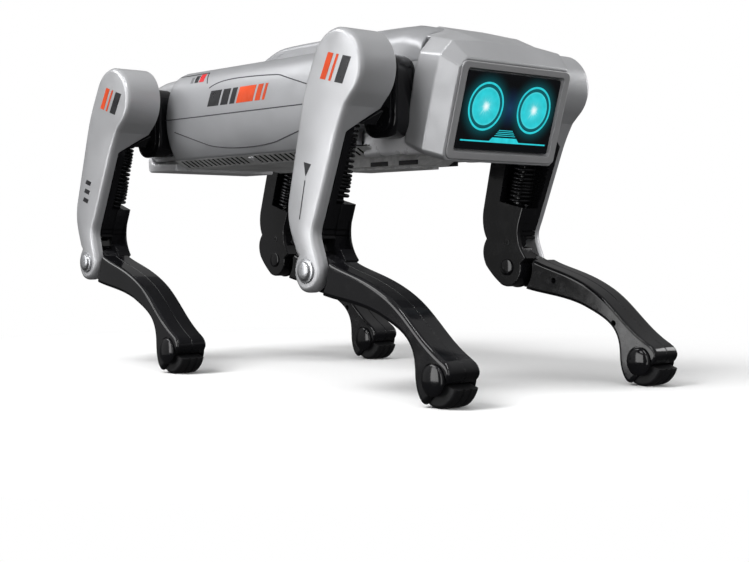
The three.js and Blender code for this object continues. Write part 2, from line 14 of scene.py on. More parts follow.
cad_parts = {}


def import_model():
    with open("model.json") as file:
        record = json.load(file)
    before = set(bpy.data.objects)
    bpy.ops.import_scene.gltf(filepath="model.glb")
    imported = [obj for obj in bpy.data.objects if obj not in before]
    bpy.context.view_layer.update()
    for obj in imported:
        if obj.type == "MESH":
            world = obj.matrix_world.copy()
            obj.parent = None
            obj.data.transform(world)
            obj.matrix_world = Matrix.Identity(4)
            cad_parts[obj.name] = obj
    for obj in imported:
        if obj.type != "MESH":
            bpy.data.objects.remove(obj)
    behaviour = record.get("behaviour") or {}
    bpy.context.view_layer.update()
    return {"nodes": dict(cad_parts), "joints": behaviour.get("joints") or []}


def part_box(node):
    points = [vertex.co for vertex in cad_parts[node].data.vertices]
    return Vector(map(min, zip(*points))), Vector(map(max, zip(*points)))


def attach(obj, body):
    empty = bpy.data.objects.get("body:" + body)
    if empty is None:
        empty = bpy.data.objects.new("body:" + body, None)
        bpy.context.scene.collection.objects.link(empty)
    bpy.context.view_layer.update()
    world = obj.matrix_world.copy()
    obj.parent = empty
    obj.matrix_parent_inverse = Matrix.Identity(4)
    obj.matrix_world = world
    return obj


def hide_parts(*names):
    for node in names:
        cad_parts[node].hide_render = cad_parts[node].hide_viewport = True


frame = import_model()
JOINTS = {joint["name"]: Vector(joint["pos_m"]) for joint in frame["joints"] if "pos_m" in joint}
MM = 0.001
ENDS = ("front", "rear")
SIDES = {"left": 1, "right": -1}

# ---- measures from the frame
FRONT_HIP = JOINTS["front_left_hip"]
REAR_HIP = JOINTS["rear_left_hip"]
MIDDLE_X = (FRONT_HIP.x + REAR_HIP.x) / 2          # middle between the hips
HIP_X = (FRONT_HIP.x - REAR_HIP.x) / 2 / MM        # half the wheelbase
HIP_Z = FRONT_HIP.z / MM
LEG_Y = FRONT_HIP.y / MM
THIGH = (JOINTS["front_left_knee"] - FRONT_HIP).length / MM
SHANK = (JOINTS["front_left_ankle"] - JOINTS["front_left_knee"]).length / MM
PAD_R = JOINTS["front_left_ankle"].z / MM          # the sole is round about the ankle axis


def box_mm(node):
    """Lowest and highest corner of a CAD node, in millimetres from the hips' midpoint on the ground."""
    low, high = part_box(node)
    shift = Vector((MIDDLE_X, 0, 0))
    return (low - shift) / MM, (high - shift) / MM


BODY = Matrix.Translation((MIDDLE_X, 0, 0)) @ Matrix.Scale(MM, 4)
PANEL_LOW, PANEL_HIGH = box_mm("left_side_panel")
DORSAL_LOW, DORSAL_HIGH = box_mm("dorsal_cover")
CORE_HALF = box_mm("body_upper_shell")[1].y         # half width of the trunk without its side panels


# ---- outlines
class Outline:
    """A closed outline in two dimensions, drawn with lines, arcs and Bezier curves."""

    def __init__(self, *start):
        self.points = [start] if start else []

    def line(self, *point):
        self.points.append(point)
        return self

    def curve(self, *controls, steps=12):
        ring = [self.points[-1], *controls]
        for n in range(1, steps + 1):
            level = ring
            while len(level) > 1:
                level = [mixed(a, b, n / steps) for a, b in zip(level, level[1:])]
            self.points.append(level[0])
        return self

    def arc(self, x, z, radius, start, end, steps=24):
        for n in range(steps + 1):
            angle = math.radians(start + (end - start) * n / steps)
            self.points.append((x + radius * math.cos(angle), z + radius * math.sin(angle)))
        return self

    def closed(self, nearest=0.12):
        """The points without near doubles, counter-clockwise."""
        kept = []
        for point in self.points:
            if not kept or math.dist(kept[-1], point) > nearest:
                kept.append(point)
        if math.dist(kept[0], kept[-1]) <= nearest:
            kept.pop()
        area = sum(a[0] * b[1] - b[0] * a[1] for a, b in zip(kept, kept[1:] + kept[:1]))
        return kept if area > 0 else kept[::-1]


def mixed(a, b, t):
    return tuple(p + (q - p) * t for p, q in zip(a, b))


def inset(points, depth):
    """The outline moved inwards by depth, with mitred corners."""
    if abs(depth) < 1e-9:
        return list(points)
    result = []
    count = len(points)
    for n, (x, z) in enumerate(points):
        before, after = points[n - 1], points[(n + 1) % count]
        one = unit(x - before[0], z - before[1])
        two = unit(after[0] - x, after[1] - z)
        lean = 1 + one[0] * two[0] + one[1] * two[1]
        reach = depth / max(lean, 0.5)
        result.append((x - (one[1] + two[1]) * reach, z + (one[0] + two[0]) * reach))
    return result


def unit(x, z):
    length = math.hypot(x, z) or 1.0
    return x / length, z / length


def with_levels(points, *levels):
    """The outline with extra points where it crosses the given heights."""
    result = []
    for a, b in zip(points, points[1:] + points[:1]):
        result.append(a)
        crossed = [z for z in levels if (a[1] - z) * (b[1] - z) < -1e-9]
        for z in sorted(crossed, key=lambda level: abs(level - a[1])):
            result.append(mixed(a, b, (z - a[1]) / (b[1] - a[1])))
    return result


def rounding(inward, rise, steps):
    """Pairs of inset and distance below the face, from the side wall to the face."""
    if not inward:
        return [(0, 0)]
    pairs = []
    for n in range(steps + 1):
        angle = math.pi / 2 * n / steps
        pairs.append((inward * (1 - math.cos(angle)), rise * (1 - math.sin(angle))))
    return pairs


# ---- meshes
def circle(count):
    """Cosine and sine of evenly spaced angles round a full turn."""
    return [(math.cos(2 * math.pi * n / count), math.sin(2 * math.pi * n / count)) for n in range(count)]


def at_depth(points, y):
    return [(x, y, z) for x, z in points]


def bridge(bm, one, two):
    count = len(one)
    for n in range(count):
        after = (n + 1) % count
        bm.faces.new((one[n], one[after], two[after], two[n]))


def grid(bm, rows):
    """Faces over an open grid of vertices."""
    for one, two in zip(rows, rows[1:]):
        for n in range(len(one) - 1):
            bm.faces.new((one[n], one[n + 1], two[n + 1], two[n]))


def border(rows):
    """The vertices round the outside of a grid, in order."""
    return rows[0] + [row[-1] for row in rows[1:-1]] + rows[-1][::-1] + [row[0] for row in rows[-2:0:-1]]


def mesh_of(bm):
    bmesh.ops.recalc_face_normals(bm, faces=bm.faces)
    mesh = bpy.data.meshes.new("shape")
    bm.to_mesh(mesh)
    bm.free()
    return mesh


def lofted(rings):
    """A closed skin over rings of points, with a cap on either end."""
    bm = bmesh.new()
    skins = [[bm.verts.new(point) for point in ring] for ring in rings]
    for one, two in zip(skins, skins[1:]):
        bridge(bm, one, two)
    bm.faces.new(skins[0])
    bm.faces.new(skins[-1])
    return mesh_of(bm)


def prism(points, low, high, low_round=(0, 0), high_round=(0, 0), steps=5):
    """An outline in X and Z drawn out along Y, with a rounded edge at either end."""
    near = [at_depth(inset(points, inward), low + rise) for inward, rise in rounding(*low_round, steps)]
    far = [at_depth(inset(points, inward), high - rise) for inward, rise in rounding(*high_round, steps)]
    return lofted(near[::-1] + far)


def turned(profile, x=0.0, z=0.0, sides=48):
    """A turned shape about an axis along Y; profile is pairs of radius and y."""
    bm = bmesh.new()
    rings = []
    for radius, y in profile:
        if radius < 1e-6:
            rings.append([bm.verts.new((x, y, z))])
            continue
        rings.append([bm.verts.new((x + radius * c, y, z + radius * s)) for c, s in circle(sides)])
    for one, two in zip(rings, rings[1:]):
        for n in range(sides):
            after = (n + 1) % sides
            corners = [one[n % len(one)], one[after % len(one)], two[after % len(two)], two[n % len(two)]]
            bm.faces.new(list(dict.fromkeys(corners)))
    return mesh_of(bm)


def cylinder(radius, low, high, x=0.0, z=0.0, sides=48):
    return turned([(0, low), (radius, low), (radius, high), (0, high)], x, z, sides)


def dome(radius, base, top, edge=0.5, steps=6):
    """Profile of a domed cap from its rim at base to its middle at top."""
    way = 1 if top > base else -1
    points = [(radius - edge * 0.4, base), (radius, base + way * edge * 0.4), (radius, base + way * edge)]
    rise = top - base - way * edge
    for n in range(1, steps + 1):
        angle = math.pi / 2 * n / steps
        points.append((radius * math.cos(angle), base + way * edge + rise * math.sin(angle)))
    points[-1] = (0, top)
    return points


def hull(points):
    bm = bmesh.new()
    for point in points:
        bm.verts.new(point)
    bmesh.ops.convex_hull(bm, input=bm.verts)
    bmesh.ops.dissolve_limit(bm, angle_limit=math.radians(1), verts=bm.verts, edges=bm.edges)
    return mesh_of(bm)


def block(x0, x1, y0, y1, z0, z1):
    return hull([(x, y, z) for x in (x0, x1) for y in (y0, y1) for z in (z0, z1)])


def merged(*meshes):
    """Several closed meshes in one mesh."""
    bm = bmesh.new()
    for mesh in meshes:
        bm.from_mesh(mesh)
    return mesh_of(bm)


def placed(name, data):
    """A new object in the scene."""
    thing = bpy.data.objects.new(name, data)
    bpy.context.scene.collection.objects.link(thing)
    return thing


def evaluated(mesh, kind, settings):
    """The mesh after one modifier of the given kind."""
    thing = placed("temporary", mesh)
    modifier = thing.modifiers.new(kind, kind)
    for key, value in settings.items():
        setattr(modifier, key, value)
    depsgraph = bpy.context.evaluated_depsgraph_get()
    result = bpy.data.meshes.new_from_object(thing.evaluated_get(depsgraph))
    bpy.data.objects.remove(thing)
    return result


def combined(mesh, tool, operation):
    """The mesh joined with (UNION) or cut by (DIFFERENCE) a tool mesh."""
    other = placed("tool", tool)
    result = evaluated(mesh, "BOOLEAN", {"object": other, "operation": operation, "solver": "EXACT"})
    bpy.data.objects.remove(other)
    return result


def carved(mesh, *tools):
    for tool in tools:
        mesh = combined(mesh, tool, "DIFFERENCE")
    return mesh


def softened(mesh, width, segments=3, angle=32):
    """The mesh with its sharp edges rounded to width."""
    settings = {"width": width, "segments": segments, "limit_method": "ANGLE",
                "angle_limit": math.radians(angle), "miter_outer": "MITER_ARC", "harden_normals": False}
    return evaluated(mesh, "BEVEL", settings)


def shaded(mesh, sharp=38):
    """Smooth shading, with edges over the given angle kept crisp."""
    bm = bmesh.new()
    bm.from_mesh(mesh)
    limit = math.radians(sharp)
    for face in bm.faces:
        face.smooth = True
    for edge in bm.edges:
        edge.smooth = len(edge.link_faces) == 2 and edge.calc_face_angle(0) < limit
    bm.to_mesh(mesh)
    bm.free()
    return mesh


def piece(name, mesh, finish, replaced=(), place=BODY, body="root", sharp=38):
    """Puts a shape into the frame by its matrix, as a piece that rides on a body."""
    material, slot = finish
    own = mesh.copy()
    own.name = name
    own.transform(place)
    if place.determinant() < 0:
        own.flip_normals()
    shaded(own, sharp)
    own.materials.clear()
    own.materials.append(material)
    thing = placed(name, own)
    thing.modifiers.new("even shading", "WEIGHTED_NORMAL").keep_sharp = True
    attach(thing, body)
    if replaced:
        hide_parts(*replaced)
    return thing


# ---- materials
class Graph:
    """A short way to write shader nodes."""

    def __init__(self, tree):
        self.nodes, self.links = tree.nodes, tree.links

    def add(self, kind, inputs=None, **settings):
        node = self.nodes.new(kind)
        for key, value in settings.items():
            setattr(node, key, value)
        for key, value in (inputs or {}).items():
            self.feed(node.inputs[key], value)
        return node

    def feed(self, socket, value):
        if isinstance(value, bpy.types.NodeSocket):
            self.links.new(value, socket)
        elif isinstance(value, tuple) and len(value) == 3 and socket.type == "RGBA":
            socket.default_value = (*value, 1)
        else:
            socket.default_value = value

    def ranged(self, value, low, high, to_low=0.0, to_high=1.0):
        inputs = {"Value": value, "From Min": low, "From Max": high, "To Min": to_low, "To Max": to_high}
        return self.add("ShaderNodeMapRange", inputs).outputs["Result"]


class Finish(Graph):
    """The nodes of one material, with its coordinates in metres and its main shader."""

    def __init__(self, name):
        self.material = bpy.data.materials.new(name)
        self.material.use_nodes = True
        super().__init__(self.material.node_tree)
        self.shader = next(n for n in self.nodes if n.type == "BSDF_PRINCIPLED")
        self.place = self.add("ShaderNodeTexCoord").outputs["Object"]

    def set(self, **values):
        for key, value in values.items():
            self.feed(self.shader.inputs[key.replace("_", " ")], value)

    def noise(self, size, detail=3.0, where=None, rough=0.55):
        """Noise whose features are about size millimetres wide."""
        inputs = {"Vector": where or self.place, "Scale": 1 / (size * MM)}
        inputs |= {"Detail": detail, "Roughness": rough}
        return self.add("ShaderNodeTexNoise", inputs).outputs["Fac"]

    def math(self, operation, a, b=0.0):
        node = self.add("ShaderNodeMath", operation=operation)
        self.feed(node.inputs[0], a)
        self.feed(node.inputs[1], b)
        return node.outputs[0]

    def mix(self, factor, one, two):
        node = self.add("ShaderNodeMix", data_type="RGBA")
        self.feed(node.inputs["Factor"], factor)
        self.feed(node.inputs["A"], one)
        self.feed(node.inputs["B"], two)
        return node.outputs["Result"]

    def varied(self, size, detail, low, high):
        """A value that wanders between low and high over patches about size millimetres wide."""
        return self.ranged(self.noise(size, detail), 0.3, 0.7, low, high)

    def mottled(self, color, dark, light, size, detail, spread=0.15):
        """The color at a strength that wanders between dark and light."""
        patches = self.ranged(self.noise(size, detail), 0.5 - spread, 0.5 + spread)
        return self.mix(patches, scaled(color, dark), scaled(color, light))

    def over(self, tone, color, mask, amount):
        """The tone with the color laid over it where the mask is set."""
        return self.mix(self.math("MULTIPLY", mask, amount), tone, color)

    def edges(self, low=0.54, high=0.62):
        """1 along worn outer edges, 0 elsewhere, broken up by noise."""
        sharp = self.add("ShaderNodeNewGeometry").outputs["Pointiness"]
        patchy = self.ranged(self.noise(6, 4), 0.42, 0.62)
        return self.math("MULTIPLY", self.ranged(sharp, low, high), patchy)

    # Mask that is 1 in creases and hollows: dust on the glossy mouldings, painted shade on the paints.
    def crevices(self, low=0.38, high=0.48):
        sharp = self.add("ShaderNodeNewGeometry").outputs["Pointiness"]
        return self.ranged(sharp, low, high, 1, 0)

    def bump(self, height, depth, before=None):
        """Bump whose full height is depth millimetres."""
        inputs = {"Height": height, "Distance": depth * MM, "Strength": 1.0}
        if before is not None:
            inputs["Normal"] = before
        return self.add("ShaderNodeBump", inputs).outputs["Normal"]


def scaled(color, factor):
    return tuple(min(1.0, c * factor) for c in color)


def painted(name, color, metallic, roughness, flake=0.004, wear=1.12, coat=0.25):
    """Satin metallic paint over moulded plastic: flakes, faint orange peel, polished edges."""
    g = Finish(name)
    flakes = g.noise(0.35, 1)
    tone = g.mottled(color, 0.95, 1.03, 45, 2)
    tone = g.mix(g.ranged(flakes, 0.55, 0.8, 0, 0.35), tone, scaled(color, 1.18))
    # painted shade: the paint darkened in creases and hollows, where shade falls
    tone = g.over(tone, scaled(color, 0.35), g.crevices(), 0.45)
    tone = g.over(tone, scaled(color, wear), g.edges(), 0.5)
    rough = g.varied(14, 4, roughness - 0.05, roughness + 0.07)
    peel = g.bump(g.noise(2.6, 2), 0.012)
    g.set(Base_Color=tone, Metallic=metallic, Roughness=rough, Coat_Weight=coat, Coat_Roughness=0.22,
          Normal=g.bump(flakes, flake, peel))
    return g.material


def gloss(name, color, roughness=0.09, coat=0.6, scratch=0.002):
    """Glossy moulding with hairline scratches, dust in the corners and faint smears."""
    g = Finish(name)
    along = {"Vector": g.place, "Scale": (1, 1, 0.06), "Rotation": (0.3, 0.7, 0.2)}
    stretched = g.add("ShaderNodeMapping", along)
    hairs = g.noise(0.5, 2, stretched.outputs["Vector"])
    line = g.ranged(hairs, 0.66, 0.72)
    smears = g.noise(9, 5)
    tone = g.mottled(color, 0.8, 1.3, 30, 2, 0.2)
    tone = g.over(tone, (0.12, 0.12, 0.12), g.crevices(), 0.12)
    tone = g.over(tone, (0.2, 0.2, 0.21), g.edges(0.56, 0.68), 0.10)
    rough = g.math("ADD", g.ranged(smears, 0.35, 0.75, roughness * 0.7, roughness * 1.9),
                   g.math("MULTIPLY", line, 0.06))
    peel = g.bump(g.noise(4.5, 2), 0.010)
    g.set(Base_Color=tone, Roughness=rough, Coat_Weight=coat, Coat_Roughness=0.05, Specular_IOR_Level=0.4,
          Normal=g.bump(hairs, scratch, peel))
    return g.material


def textured(name, color, roughness, grain=0.45, depth=0.03, dust=0.08, shine=0.35):
    """Matt moulding or rubber with an eroded grain."""
    g = Finish(name)
    spots = g.noise(grain, 3)
    tone = g.mottled(color, 0.85, 1.15, 18, 3)
    tone = g.mix(g.ranged(spots, 0.5, 0.7, 0, 0.2), tone, scaled(color, 1.5))
    tone = g.over(tone, scaled(color, 1.9), g.edges(0.53, 0.6), dust * 4)
    rough = g.varied(7, 4, roughness - 0.06, roughness + 0.06)
    g.set(Base_Color=tone, Roughness=rough, Specular_IOR_Level=shine, Normal=g.bump(spots, depth))
    return g.material


def steel(name, color, roughness):
    """Drawn wire and turned pins: fine lines along the stock, lighter along the worn edges."""
    g = Finish(name)
    drawn = g.add("ShaderNodeMapping", {"Vector": g.place, "Scale": (1, 1, 6)})
    lines = g.noise(0.9, 2, drawn.outputs["Vector"])
    tone = g.mix(g.ranged(lines, 0.35, 0.65), scaled(color, 0.75), scaled(color, 1.2))
    tone = g.over(tone, scaled(color, 1.8), g.edges(), 0.6)
    rough = g.varied(3, 4, roughness - 0.07, roughness + 0.1)
    g.set(Base_Color=tone, Metallic=0.9, Roughness=rough, Normal=g.bump(lines, 0.008))
    return g.material


def circuit(name):
    """Green solder mask with a grid of tracks and pads."""
    g = Finish(name)
    inputs = {"Vector": g.place, "Scale": 260.0, "Mortar Size": 0.03, "Mortar": (0.25, 0.22, 0.1)}
    inputs |= {"Color1": (0.02, 0.14, 0.06), "Color2": (0.015, 0.11, 0.05)}
    tracks = g.add("ShaderNodeTexBrick", inputs).outputs
    bump = g.bump(tracks["Fac"], 0.03)
    g.set(Base_Color=tracks["Color"], Roughness=g.varied(3, 3, 0.3, 0.5), Normal=bump)
    return g.material


# Every finish is a material and the slot it fills.
SILVER = painted("silver_paint", (0.53, 0.535, 0.55), 0.52, 0.36), "silver_plastic"
# painted shade: a darker copy of the silver paint for the side panels, dorsal cover and neck hood, standing
# in for shade on the trunk
SHADED_SILVER = painted("silver_paint_shaded", (0.40, 0.405, 0.42), 0.5, 0.38), "silver_plastic"
BEZEL = painted("bezel_paint", (0.42, 0.42, 0.43), 0.45, 0.42), "bezel_plastic"
GREY = textured("grey_moulding", (0.52, 0.52, 0.52), 0.5), "grey_plastic"
BLACK = gloss("gloss_black", (0.006, 0.006, 0.007), 0.09, 0.15), "black_gloss"
DARK = textured("matt_black", (0.018, 0.018, 0.019), 0.6), "matte_black"
# painted shadow: near-black with no shine, for the sheet behind the vent slots
VENT_SHADE = textured("vent_shadow", (0.004, 0.004, 0.004), 0.9, dust=0.0, shine=0.02), "matte_black"
# painted light: a paler copy of the silver paint, standing in for light falling on the neck cheeks and tail
# skid; the vent arrow uses it too
LIT_SILVER = painted("silver_paint_lit", (0.80, 0.80, 0.82), 0.15, 0.30), "silver_plastic"
SEAM = textured("seam_shadow", (0.05, 0.05, 0.055), 0.7), "matte_black"
RUBBER = textured("pad_rubber", (0.012, 0.012, 0.013), 0.5, 0.8, 0.04), "pad_rubber"
WIRE = steel("dark_steel", (0.045, 0.045, 0.048), 0.24), "dark_steel"
CAP = painted("cap_satin", (0.55, 0.56, 0.58), 0.8, 0.26), "silver_cap"
BOARD = circuit("circuit_board"), "circuit_board"
CELL = textured("battery_wrap", (0.05, 0.15, 0.4), 0.4), "battery_wrap"
ORANGE = gloss("accent_orange", (0.60, 0.055, 0.004), 0.45, 0.0), "silver_plastic"
INK = gloss("accent_black", (0.012, 0.012, 0.014), 0.35, 0.1), "silver_plastic"
ASH = gloss("accent_grey", (0.16, 0.16, 0.17), 0.35, 0.1), "silver_plastic"
RED = gloss("accent_red", (0.55, 0.015, 0.02), 0.35, 0.1), "silver_plastic"
POINTER = LIT_SILVER[0], "silver_cap"


# ---- leg shapes, seen from hip or knee axis
DRUM_R = 24.4                     # round hip end of the thigh, its centre a little behind the axis
DRUM_X = -0.8
KNEE_R = 13.8                     # round knee end
THIGH_IN, THIGH_OUT = -16.0, 13.4  # inner and outer face of the thigh, from the leg's middle plane
SPLIT = 5.4                       # silver cover outside this plane, black frame inside
SLOPE = (-18, -20, 21 / 16)       # sloping lower edge of the silver drum: y, height, rise
CROWN = 1.3                       # fall of the cover's face from its crest to its edge
TONGUE = (-4.0, 4.9)              # knee tongue between frame and cover
SHANK_HALF = 12.3
SHOULDER_R = 21.0
SLOT = {"back": -18, "depth": 0.4, "top": -32, "bottom": -84}
SPRING = {"x": -6, "y": -8.2, "radius": 6.9, "wire": 1.08, "turns": 17.5}
ANKLE = Vector((82.2, -100.6)).normalized() * SHANK
PAD_HALF = 9.6
AXLE_R = 3.2


def thigh_outline(grow=0.0):
    back = -30.2 - grow
    path = Outline().arc(DRUM_X, 0, DRUM_R, -38, 168, 44)
    path.curve((-26.6, -5), (back, -16), (back, -32), steps=10).line(back, -57).line(back, -88)
    path.curve((back, -104), (-20, -112), (-14.5 - grow / 2, -120), steps=12)
    path.arc(0, -THIGH, KNEE_R, 150, 385, 40)
    path.curve((8, -114), (1.2 + grow, -108), (1.2 + grow, -102), steps=8)
    path.curve((1.3 + grow, -99), (2.4 + grow, -94), steps=5).line(9.6 + grow, -42)
    path.curve((11.2, -31), (14.6, -21), steps=7)
    return path.closed()


def inner_depth(z):
    """Inner face of the silver cover at height z: deep behind the drum, shallow along the shaft."""
    y, level, rise = SLOPE
    return min(SPLIT, max(THIGH_IN, y + (level - z) * rise))


def crown_fall(points, x, z):
    """How far the cover's face falls back from its crest at a place in the outline."""
    z = min(max(z, -THIGH - 11), DRUM_R - 2)
    crossings = [mixed(a, b, (z - a[1]) / (b[1] - a[1]))[0] for a, b in zip(points, points[1:] + points[:1])
                 if (a[1] > z) != (b[1] > z)]
    back, front = min(crossings), max(crossings)
    return CROWN * min(1.0, ((2 * x - back - front) / (front - back)) ** 2)


def thigh_cover():
    """Silver shell with a broad soft edge; its inner side steps down along the sloping edge."""
    top = SLOPE[1] - (THIGH_IN - SLOPE[0]) / SLOPE[2]
    low = SLOPE[1] - (SPLIT - SLOPE[0]) / SLOPE[2]
    points = with_levels(thigh_outline(), top, low)
    bm = bmesh.new()
    inner = [bm.verts.new((x, inner_depth(z), z)) for x, z in points]
    rings = [inner]
    for inward, rise in rounding(3.4, 3.6, 8):
        rings.append([bm.verts.new(point) for point in at_depth(inset(points, inward), THIGH_OUT - rise)])
    for one, two in zip(rings, rings[1:]):
        bridge(bm, one, two)
    bm.faces.new(rings[-1])
    for axis, start, end in ((0, -26, 24), (2, -THIGH - 10, 22)):
        for level in range(int(start), int(end), 3):
            flat = [f for f in bm.faces if all(abs(v.co.y - THIGH_OUT) < 1e-4 for v in f.verts)]
            geometry = flat + list({e for f in flat for e in f.edges})
            geometry += list({v for f in flat for v in f.verts})
            normal = [1.0 if n == axis else 0.0 for n in range(3)]
            bmesh.ops.bisect_plane(bm, geom=geometry, plane_co=[level * n for n in normal], plane_no=normal)
    for vertex in bm.verts:
        if vertex.co.y > THIGH_OUT / 2:
            vertex.co.y -= crown_fall(points, vertex.co.x, vertex.co.z)
    spans = ((top, 99), (low, top), (-999, low))
    for bottom, ceiling in spans:
        bm.faces.new([v for v in inner if bottom - 1e-4 <= v.co.z <= ceiling + 1e-4])
    return softened(mesh_of(bm), 0.7, 2, 40)


def frame_outline():
    path = Outline(30, -2).line(-26, -2)
    path.curve((-33.5, -20), (-33.5, -50)).line(-33, -94)
    path.curve((-32, -106), (-25, -113)).curve((-29.5, -123), (-21, -132))
    path.curve((-12, -138.5), (-4, -141.2))
    path.arc(0, -THIGH, KNEE_R, -107, 25, 26).line(16.5, -117.5)
    path.curve((4.5, -110), (4, -96)).line(6, -78).line(9, -50).line(13.5, -30).line(21, -17)
    return path.closed()


def slope_tool(lift):
    """Everything above the frame's sloping top."""
    y, level, rise = SLOPE
    past, side, ceiling = 8, 60, 40
    low, high = level + past / rise + lift, level - (SPLIT - y) / rise + lift
    outer = SPLIT + past + 1
    edge = [(y - past, low), (SPLIT, high), (outer, high), (outer, ceiling), (y - past, ceiling)]
    return hull([(x, a, b) for x in (-side, side) for a, b in edge])


def thigh_frame():
    """Black inner frame: deep plate, spine behind the cover, spring window and knee fork."""
    gap = 0.35
    cut_y = TONGUE[0] - gap
    plate = prism(frame_outline(), THIGH_IN, cut_y, (1.2, 1.2), (0.3, 0.3), 3)
    spine = prism(inset(thigh_outline(), -0.8), cut_y - 1, SPLIT - gap)
    body = combined(plate, spine, "UNION")
    slot = block(SLOT["back"], 40, THIGH_IN - 3, SLOT["depth"], SLOT["bottom"], SLOT["top"])
    knee_room = cylinder(SHOULDER_R + 0.6, cut_y, 20, 0, -THIGH)
    waist = block(3.2, 40, -13.6, 8, -112, -95)
    seams = merged(*[block(-1, 40, -14, 20, z - gap, z + gap) for z in (-101, -104.5)])
    plain = carved(body, slope_tool(-0.55), slot, knee_room, waist, seams)
    half = 4.0
    guide = block(SPRING["x"] - half, SPRING["x"] + half, SPRING["y"] - half, SPRING["y"] + half,
                  SLOT["bottom"] - 1, SLOT["top"] + 1)
    return merged(softened(plain, 0.55, 2, 30), softened(guide, 2.5, 3))


def coil_spring():
    """Compression spring with closed end turns."""
    radius, wire, turns = SPRING["radius"], SPRING["wire"], SPRING["turns"]
    low, high = SLOT["bottom"] + wire, SLOT["top"] - wire
    steps = int(turns * 24)
    upward = Vector((0, 0, 1))
    rings = []
    for n in range(steps + 1):
        t = n / steps
        squeezed = t + 0.018 * math.sin(4 * math.pi * t)
        angle = 2 * math.pi * turns * t
        outward = Vector((math.cos(angle), math.sin(angle), 0))
        centre = Vector((SPRING["x"], SPRING["y"], low + (high - low) * squeezed)) + outward * radius
        rings.append([centre + (outward * c + upward * s) * wire for c, s in circle(10)])
    return lofted(rings)


def shank_outline():
    path = Outline(15, -4).line(22.2, -3.5)
    path.curve((32, -14), (52, -25), (67, -46), steps=18).curve((78, -62), (81, -77), (94, -93), steps=18)
    path.curve((99, -99), (98, -104), (92, -105.5), steps=7).curve((ANKLE.x, -106.5), (71, -111), steps=6)
    path.curve((65, -112), (64, -101), (68, -91), steps=9).curve((75, -74), (68, -66), (52, -50), steps=14)
    path.curve((38, -37), (22, -30), (7, -19.5), steps=12).line(9, -10)
    return path.closed()


def tongue(grow):
    radius = 12.6 + grow
    path = Outline().arc(0, 0, radius, 60, 245, 30).line(12, -23 - grow).line(30 + grow, -31 - grow)
    path.line(33 + grow, -18).line(24, -6.5 + grow)
    return prism(path.closed(), TONGUE[0] - grow, TONGUE[1] + grow)


def sector(radius, start, end, half):
    """Wedge about the ankle axis, for the pad and the room it swings in."""
    path = Outline(ANKLE.x, ANKLE.y).arc(ANKLE.x, ANKLE.y, radius, start, end, 24)
    return prism(path.closed(), -half, half)


def shank_shell(side):
    """Outer (+1) or inner (-1) half of the shank."""
    edge = (3.2, 2.6) if side > 0 else (2.4, 2.0)
    seam = (0.45, 0.45)
    if side > 0:
        shell = prism(shank_outline(), 0.12, SHANK_HALF, seam, edge, 5)
    else:
        shell = prism(shank_outline(), -SHANK_HALF, -0.12, edge, seam, 5)
    face = side * (SHANK_HALF + 0.7)
    dish = cylinder(10.1, face - 1.6, face + 1.6, ANKLE.x, ANKLE.y)
    shoulder = cylinder(SHOULDER_R, -30, 30, 0, 0, 72)
    room = sector(PAD_R + 2, -175, -31, PAD_HALF + 0.35)
    shell = carved(shell, dish, shoulder, room)
    if side > 0:
        return softened(carved(shell, tongue(0.35)), 0.4, 2, 34)
    arm = carved(tongue(0), cylinder(5.35, -9, 9))
    shell = combined(carved(shell, tongue(0)), arm, "UNION")
    wells = [cylinder(2.1, -SHANK_HALF - 1, -SHANK_HALF + 3, x, z, 20) for x, z in ((34, -24), (72, -70))]
    return softened(carved(shell, *wells), 0.4, 2, 34)


def foot_pad():
    """Rubber sole, round about the ankle axis, with two grooves in its tread and a hub."""
    front, back, count = -40, -166, 30
    groove = PAD_R - 1.2
    edge = [(0.5, PAD_HALF), (PAD_R - 2.2, PAD_HALF), (PAD_R - 1.0, PAD_HALF - 0.6)]
    edge.append((PAD_R, PAD_HALF * 0.8))
    section = [(r, -y) for r, y in edge]
    for y in (-0.3 * PAD_HALF, 0.3 * PAD_HALF):
        section += [(PAD_R, y - 1.3), (groove, y - 0.7), (groove, y + 0.7), (PAD_R, y + 1.3)]
    section += reversed(edge)
    rings = []
    for n in range(count + 1):
        angle = math.radians(back + (front - back) * n / count)
        c, s = math.cos(angle), math.sin(angle)
        rings.append([(ANKLE.x + r * c, y, ANKLE.y + r * s) for r, y in section])
    hub = cylinder(6.4, -PAD_HALF, PAD_HALF, ANKLE.x, ANKLE.y, 40)
    bore = cylinder(AXLE_R + 0.3, -20, 20, ANKLE.x, ANKLE.y, 32)
    return softened(carved(combined(lofted(rings), hub, "UNION"), bore), 0.35, 2, 40)


def ankle_axle():
    """Shaft with a domed cap pressed on either end."""
    seat, cap, top = SHANK_HALF - 0.6, 9.3, SHANK_HALF + 2.6
    outer = [(AXLE_R, seat), *dome(cap, seat, top, 1.2, 8)]
    inner = [(radius, -y) for radius, y in reversed(outer)]
    return turned(inner + outer, ANKLE.x, ANKLE.y, 56)


def hip_hub():
    """Output stub from the gearbox into the thigh."""
    inner, collar, end = box_mm("front_left_hip_hub")[0].y - LEG_Y, THIGH_IN - 0.3, 3.5
    profile = [(0, inner), (10.1, inner), (11.2, inner + 0.5), (11.5, inner + 1.5)]
    profile += [(11.5, collar - 1), (11.0, collar), (10, collar), (10, end), (0, end)]
    return turned(profile)


def pin_cap():
    """Stepped round cap on the knee pin, standing proud of the cover."""
    steps = [(0, -3), (8.0, -3), (8.0, 0.2), (7.6, 0.7), (6.3, 0.9)]
    steps += [(5.9, 1.2), (5.6, 2.1), (5.0, 2.6), (3.0, 2.9), (0, 3)]
    return turned([(radius, THIGH_OUT + rise) for radius, rise in steps], 0, -THIGH, 56)


